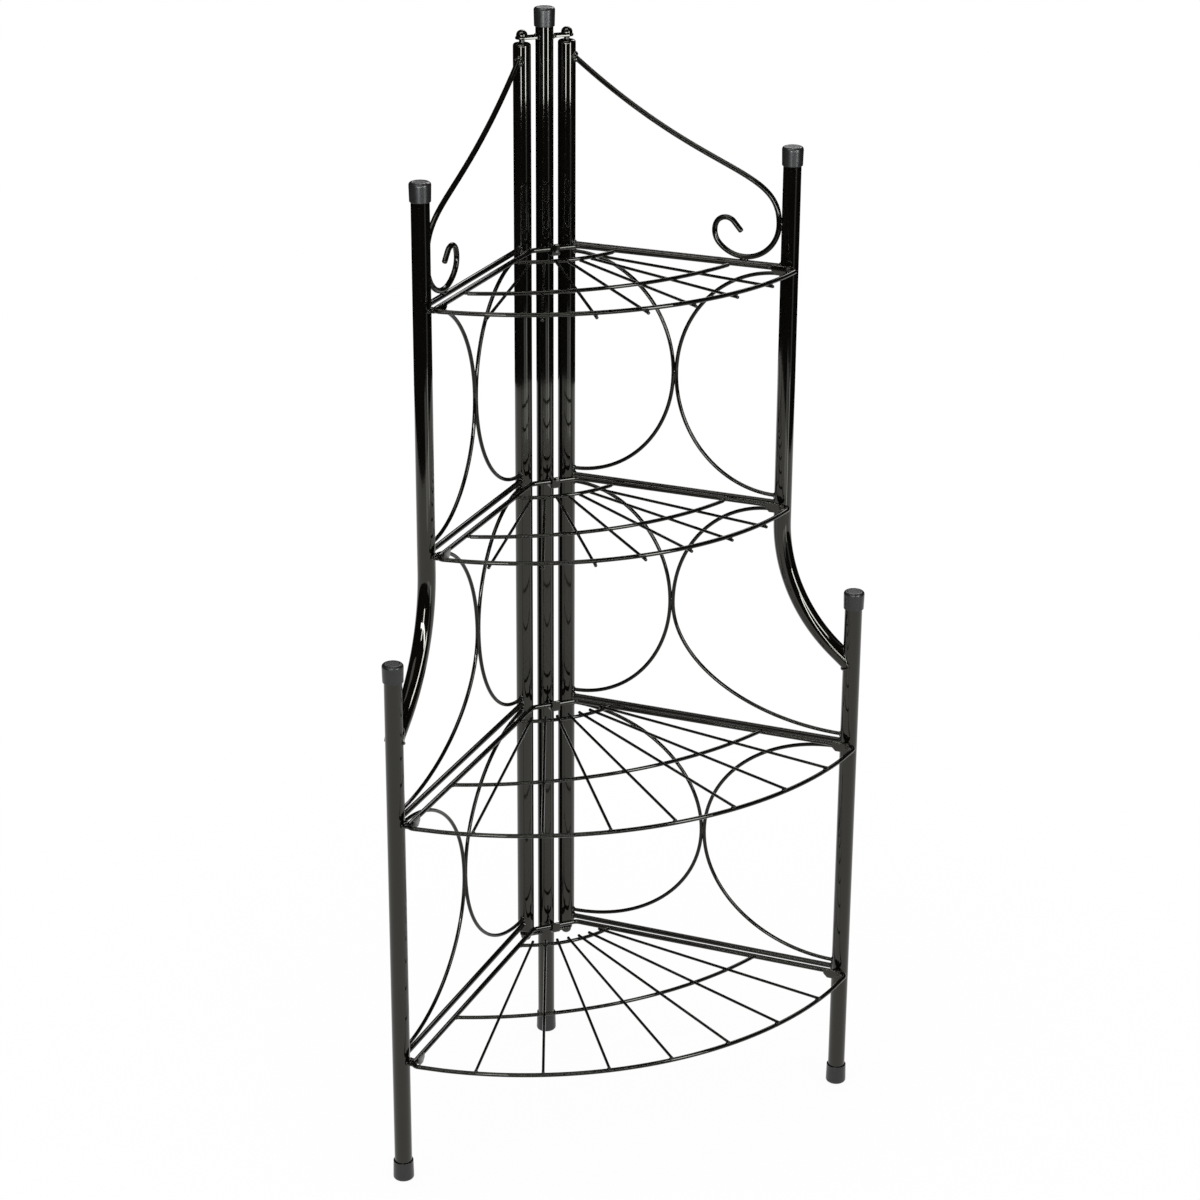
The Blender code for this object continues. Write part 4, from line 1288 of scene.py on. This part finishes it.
def shelf_welds(shelf):
    """Weld spots of one shelf: where each spoke crosses an arc and where cross arcs meet the side wires."""
    welds = []
    heights = {"inner": shelf.arc_z, "middle": shelf.arc_z, "front": shelf.level}
    for name, height in heights.items():
        for way, reach in zip(shelf.ways, shelf.reaches(name)):
            spot = reach * way + (height + shelf.spoke_z) / 2 * UP
            welds.append(drop(spot, CROSSING_SPOT, way, np.cross(UP, way), UP))
    for name in ("inner", "middle"):
        path = bowed_arc(*shelf.arcs[name], shelf.side)
        for end in (path[0], path[-1]):
            spot = end + (shelf.level + shelf.arc_z) / 2 * UP
            welds.append(drop(spot, ARC_END_SPOT, BISECTOR, ACROSS, UP))
    return join(welds)


class PLANTSTAND_OT_welds(bpy.types.Operator):
    """Add the weld beads and spots"""

    bl_idname = "plant_stand.welds"
    bl_label = "Weld Beads"

    def execute(self, context):
        sizes = context.scene.plant_stand_sizes
        add_piece("corner_post_welds", corner_welds(sizes), "corner_post", "fitting_paint")
        for panel in PANELS:
            add_piece(f"{panel.side}_panel_welds", panel_welds(panel, sizes), panel.body, "fitting_paint")
        for number in RAIL_NUMBERS:
            welds = shelf_welds(Shelf(number, sizes))
            add_piece(f"shelf_{number}_welds", welds, f"shelf_{number}", "wire_paint")
        return {"FINISHED"}


# Studio
WHITE = (1.0, 1.0, 1.0)
BLACK = (0.0, 0.0, 0.0)
SQUARE = np.array(((-1, -1), (1, -1), (1, 1), (-1, 1)))
SQUARE_FACE = np.arange(4)[None]
FLOOR_HALF = 30.0
FLOOR_Z = -0.0004
PAPER_SHARE = 0.94
SHADOW_PLACE = (0.13, -0.13, 0.0)
SHADOW_REACH = (0.45, 1.2)
CARD_RADIUS = 2.55
CARD_HEIGHT = 3.1

# Strip lights: azimuth, width, lower and upper edge, brightness
STRIPS = (
    (-78.0, 0.32, 0.64, 1.30, 22.0),
    (-20.0, 0.40, 0.64, 2.00, 22.0),
    (-20.0, 0.32, 0.00, 0.24, 4.0),
    (-45.0, 1.00, 0.00, 0.24, 1.0),
    (-14.0, 0.60, 0.24, 0.62, 0.5),
    (-86.0, 1.30, 0.94, 1.06, 30.0),
    (-50.0, 1.60, 0.94, 1.06, 30.0),
)
STRIP_DISTANCE = 2.2
STRIP_COLOUR = (0.94, 0.98, 1.0)

# Softboxes: place, target, width, height and whether they light matt surfaces
SOFTBOXES = {
    "overhead": ((0.3, -0.6, 2.9), (0.1, -0.1, 0.6), 1.1, 1.1, True),
    "key": ((-0.9, -2.0, 2.3), (0.1, -0.1, 0.6), 1.2, 1.2, True),
    "sheen": ((-0.4, -0.9, 2.7), (0.1, -0.1, 0.6), 0.8, 0.7, False),
    "rear": ((-0.3, 2.3, 2.4), (0.0, 0.0, 0.7), 2.0, 0.6, False),
}

# Camera, fitted to the photograph
CAMERA_PLACE = (1.2111, -2.8469, 1.7874)
CAMERA_YAW = math.radians(21.914)
CAMERA_PITCH = math.radians(21.13)
CAMERA_ROLL = math.radians(0.294)
FOCAL_PIXELS = 2963.6
IMAGE_PIXELS = 1200
SENSOR = 36.0
CAMERA_SHIFT = -0.03
CAMERA_FAR = 200.0


def direct_rays(look):
    """1 for camera, glossy and transmission rays, 0 for the others."""
    kinds = ("Camera", "Glossy", "Transmission")
    camera, glossy, through = (look.node("ShaderNodeLightPath", output=f"Is {kind} Ray") for kind in kinds)
    settings = {"operation": "ADD", "use_clamp": True}
    return look.node("ShaderNodeMath", settings, {0: camera + glossy, 1: through})


def floor_look(colour):
    """White paper: a matt surface that keeps shadows, lifted to white for the rays that see it directly."""
    look = Look(bpy.data.materials.new("studio_paper"))
    shader = look.tree.nodes["Principled BSDF"]
    shader.inputs["Base Color"].default_value = (*colour, 1.0)
    shader.inputs["Roughness"].default_value = 1.0
    shader.inputs["Specular IOR Level"].default_value = 0.0
    glow = look.node("ShaderNodeEmission", {}, {"Color": (*WHITE, 1.0), "Strength": 1.0})
    paper = Value(look, shader.outputs["BSDF"])
    place = look.node("ShaderNodeTexCoord", output="Object")
    away = look.node("ShaderNodeVectorMath", {"operation": "DISTANCE"}, {0: place, 1: SHADOW_PLACE}, "Value")
    share = PAPER_SHARE + (1 - PAPER_SHARE) * look.band(away, *SHADOW_REACH)
    blend = look.node("ShaderNodeMixShader", {}, {0: direct_rays(look) * share, 1: paper, 2: glow})
    look.tree.links.new(blend.socket, look.tree.nodes["Material Output"].inputs["Surface"])
    return look.owner


def card_look():
    """Matt black cloth of the cards that keep far reflections dark."""
    look = Look(bpy.data.materials.new("black_card"))
    return look.finish({"Base Color": (*BLACK, 1.0), "Specular IOR Level": 0.0, "Roughness": 1.0}, {})


def stage_object(name, points, faces, material):
    """A mesh of the stage."""
    mesh = bpy.data.meshes.new(name)
    mesh.from_pydata(points.tolist(), [], faces.tolist())
    mesh.materials.append(material)
    made = bpy.data.objects.new(name, mesh)
    bpy.context.scene.collection.objects.link(made)
    return made


def hide(card):
    """Leaves a card to be seen in reflections only."""
    for rays in ("camera", "diffuse", "shadow", "transmission", "volume_scatter"):
        setattr(card, f"visible_{rays}", False)


def add_floor(colour):
    """A wide sheet of paper just under the feet."""
    corners = np.column_stack([SQUARE * FLOOR_HALF, np.full(4, FLOOR_Z)])
    stage_object("studio_floor", corners, SQUARE_FACE, floor_look(colour))


def add_cards():
    """A round wall and a roof of black card about the stand."""
    count = TURN_SIDES
    ring = arc((0.0, 0.0), CARD_RADIUS, 0, 2 * math.pi, count - 1)
    wall = np.column_stack([ring, np.zeros(count)])
    first = np.arange(count - 1)
    quads = np.stack([first, first + 1, first + count + 1, first + count], axis=-1)
    hide(stage_object("black_cards", np.vstack([wall, wall + CARD_HEIGHT * UP]), quads, card_look()))
    roof = np.column_stack([SQUARE * CARD_RADIUS, np.full(4, CARD_HEIGHT)])
    hide(stage_object("black_roof", roof, SQUARE_FACE, card_look()))


def area_light(name, place, target, width, height, power, colour):
    """A softbox that faces a target and isn't seen by the camera itself."""
    data = bpy.data.lights.new(name, "AREA")
    data.shape = "RECTANGLE"
    data.size = width
    data.size_y = height
    data.energy = power
    data.color = colour
    light = bpy.data.objects.new(name, data)
    back = unit(np.asarray(place, float) - np.asarray(target, float))
    side = unit(np.cross(UP, back))
    basis = Matrix(np.column_stack([side, np.cross(back, side), back]).tolist()).to_4x4()
    light.matrix_world = Matrix.Translation(place) @ basis
    light.visible_camera = False
    bpy.context.scene.collection.objects.link(light)
    return light


def add_lights(studio):
    """The strips, which are seen in reflections only, and the softboxes."""
    for number, (azimuth, width, low, high, level) in enumerate(STRIPS, start=1):
        turn = math.radians(azimuth)
        target = (low + high) / 2 * UP
        place = STRIP_DISTANCE * np.array((math.cos(turn), math.sin(turn), 0.0)) + target
        power = level * studio.strip * math.pi * width * (high - low)
        strip = area_light(f"strip_{number}", place, target, width, high - low, power, STRIP_COLOUR)
        strip.visible_diffuse = False
    for name, (place, target, width, height, lights_matt) in SOFTBOXES.items():
        softbox = area_light(name, place, target, width, height, getattr(studio, name), WHITE)
        softbox.visible_diffuse = lights_matt


def add_world(ambient):
    """White surroundings: full brightness for direct rays, the ambient share for the others."""
    world = bpy.data.worlds.new("studio_air")
    bpy.context.scene.world = world
    look = Look(world)
    direct = direct_rays(look)
    background = look.tree.nodes["Background"]
    background.inputs["Color"].default_value = (*WHITE, 1.0)
    look.feed(background.inputs["Strength"], ambient + (1 - ambient) * direct)


def add_camera():
    """The camera at the photograph's place: yaw about Z, pitch down, a slight roll."""
    yaw, pitch, roll = CAMERA_YAW, CAMERA_PITCH, CAMERA_ROLL
    ahead = np.array((-math.sin(yaw) * math.cos(pitch), math.cos(yaw) * math.cos(pitch), -math.sin(pitch)))
    level = unit(np.cross(ahead, UP))
    above = np.cross(level, ahead)
    right = math.cos(roll) * level + math.sin(roll) * above
    over = -math.sin(roll) * level + math.cos(roll) * above
    data = bpy.data.cameras.new("photo_camera")
    data.sensor_width = SENSOR
    data.lens = FOCAL_PIXELS / IMAGE_PIXELS * SENSOR
    data.shift_y = CAMERA_SHIFT
    data.clip_end = CAMERA_FAR
    camera = bpy.data.objects.new("photo_camera", data)
    basis = Matrix(np.column_stack([right, over, -ahead]).tolist()).to_4x4()
    camera.matrix_world = Matrix.Translation(CAMERA_PLACE) @ basis
    bpy.context.scene.collection.objects.link(camera)
    bpy.context.scene.camera = camera


class PLANTSTAND_OT_stage(bpy.types.Operator):
    """Add the floor, the lights, the surroundings and the camera"""

    bl_idname = "plant_stand.stage"
    bl_label = "Stage"

    def execute(self, context):
        scene = context.scene
        studio = scene.plant_stand_studio
        add_floor(tuple(scene.plant_stand_colours.floor))
        add_cards()
        add_lights(studio)
        add_world(studio.ambient)
        scene.view_settings.view_transform = "Standard"
        add_camera()
        return {"FINISHED"}


STEPS = (
    PLANTSTAND_OT_tubes,
    PLANTSTAND_OT_caps_and_feet,
    PLANTSTAND_OT_hinges,
    PLANTSTAND_OT_rails_and_scrolls,
    PLANTSTAND_OT_supports,
    PLANTSTAND_OT_shelves,
    PLANTSTAND_OT_welds,
    PLANTSTAND_OT_stage,
)


class PLANTSTAND_PT_panel(bpy.types.Panel):
    """Sizes, colours and steps of the plant stand"""

    bl_label = "Plant Stand"
    bl_space_type = "VIEW_3D"
    bl_region_type = "UI"
    bl_category = "Plant Stand"

    def draw(self, context):
        scene = context.scene
        for step in STEPS:
            self.layout.operator(step.bl_idname)
        for group in (scene.plant_stand_sizes, scene.plant_stand_colours, scene.plant_stand_studio):
            for name in group.__annotations__:
                self.layout.prop(group, name)


GROUPS = {
    "plant_stand_sizes": PlantStandSizes,
    "plant_stand_colours": PlantStandColours,
    "plant_stand_studio": PlantStandStudio,
}
CLASSES = (*GROUPS.values(), *STEPS, PLANTSTAND_PT_panel)


def register():
    """Registers the classes and hangs the property groups on the scene."""
    for one in CLASSES:
        bpy.utils.register_class(one)
    for name, group in GROUPS.items():
        setattr(bpy.types.Scene, name, PointerProperty(type=group))


def unregister():
    """Takes the groups off the scene and unregisters the classes."""
    for name in GROUPS:
        delattr(bpy.types.Scene, name)
    for one in reversed(CLASSES):
        bpy.utils.unregister_class(one)


def main():
    """Builds every piece in order."""
    register()
    for step in STEPS:
        group, name = step.bl_idname.split(".")
        getattr(getattr(bpy.ops, group), name)()


if __name__ == "__main__":
    main()
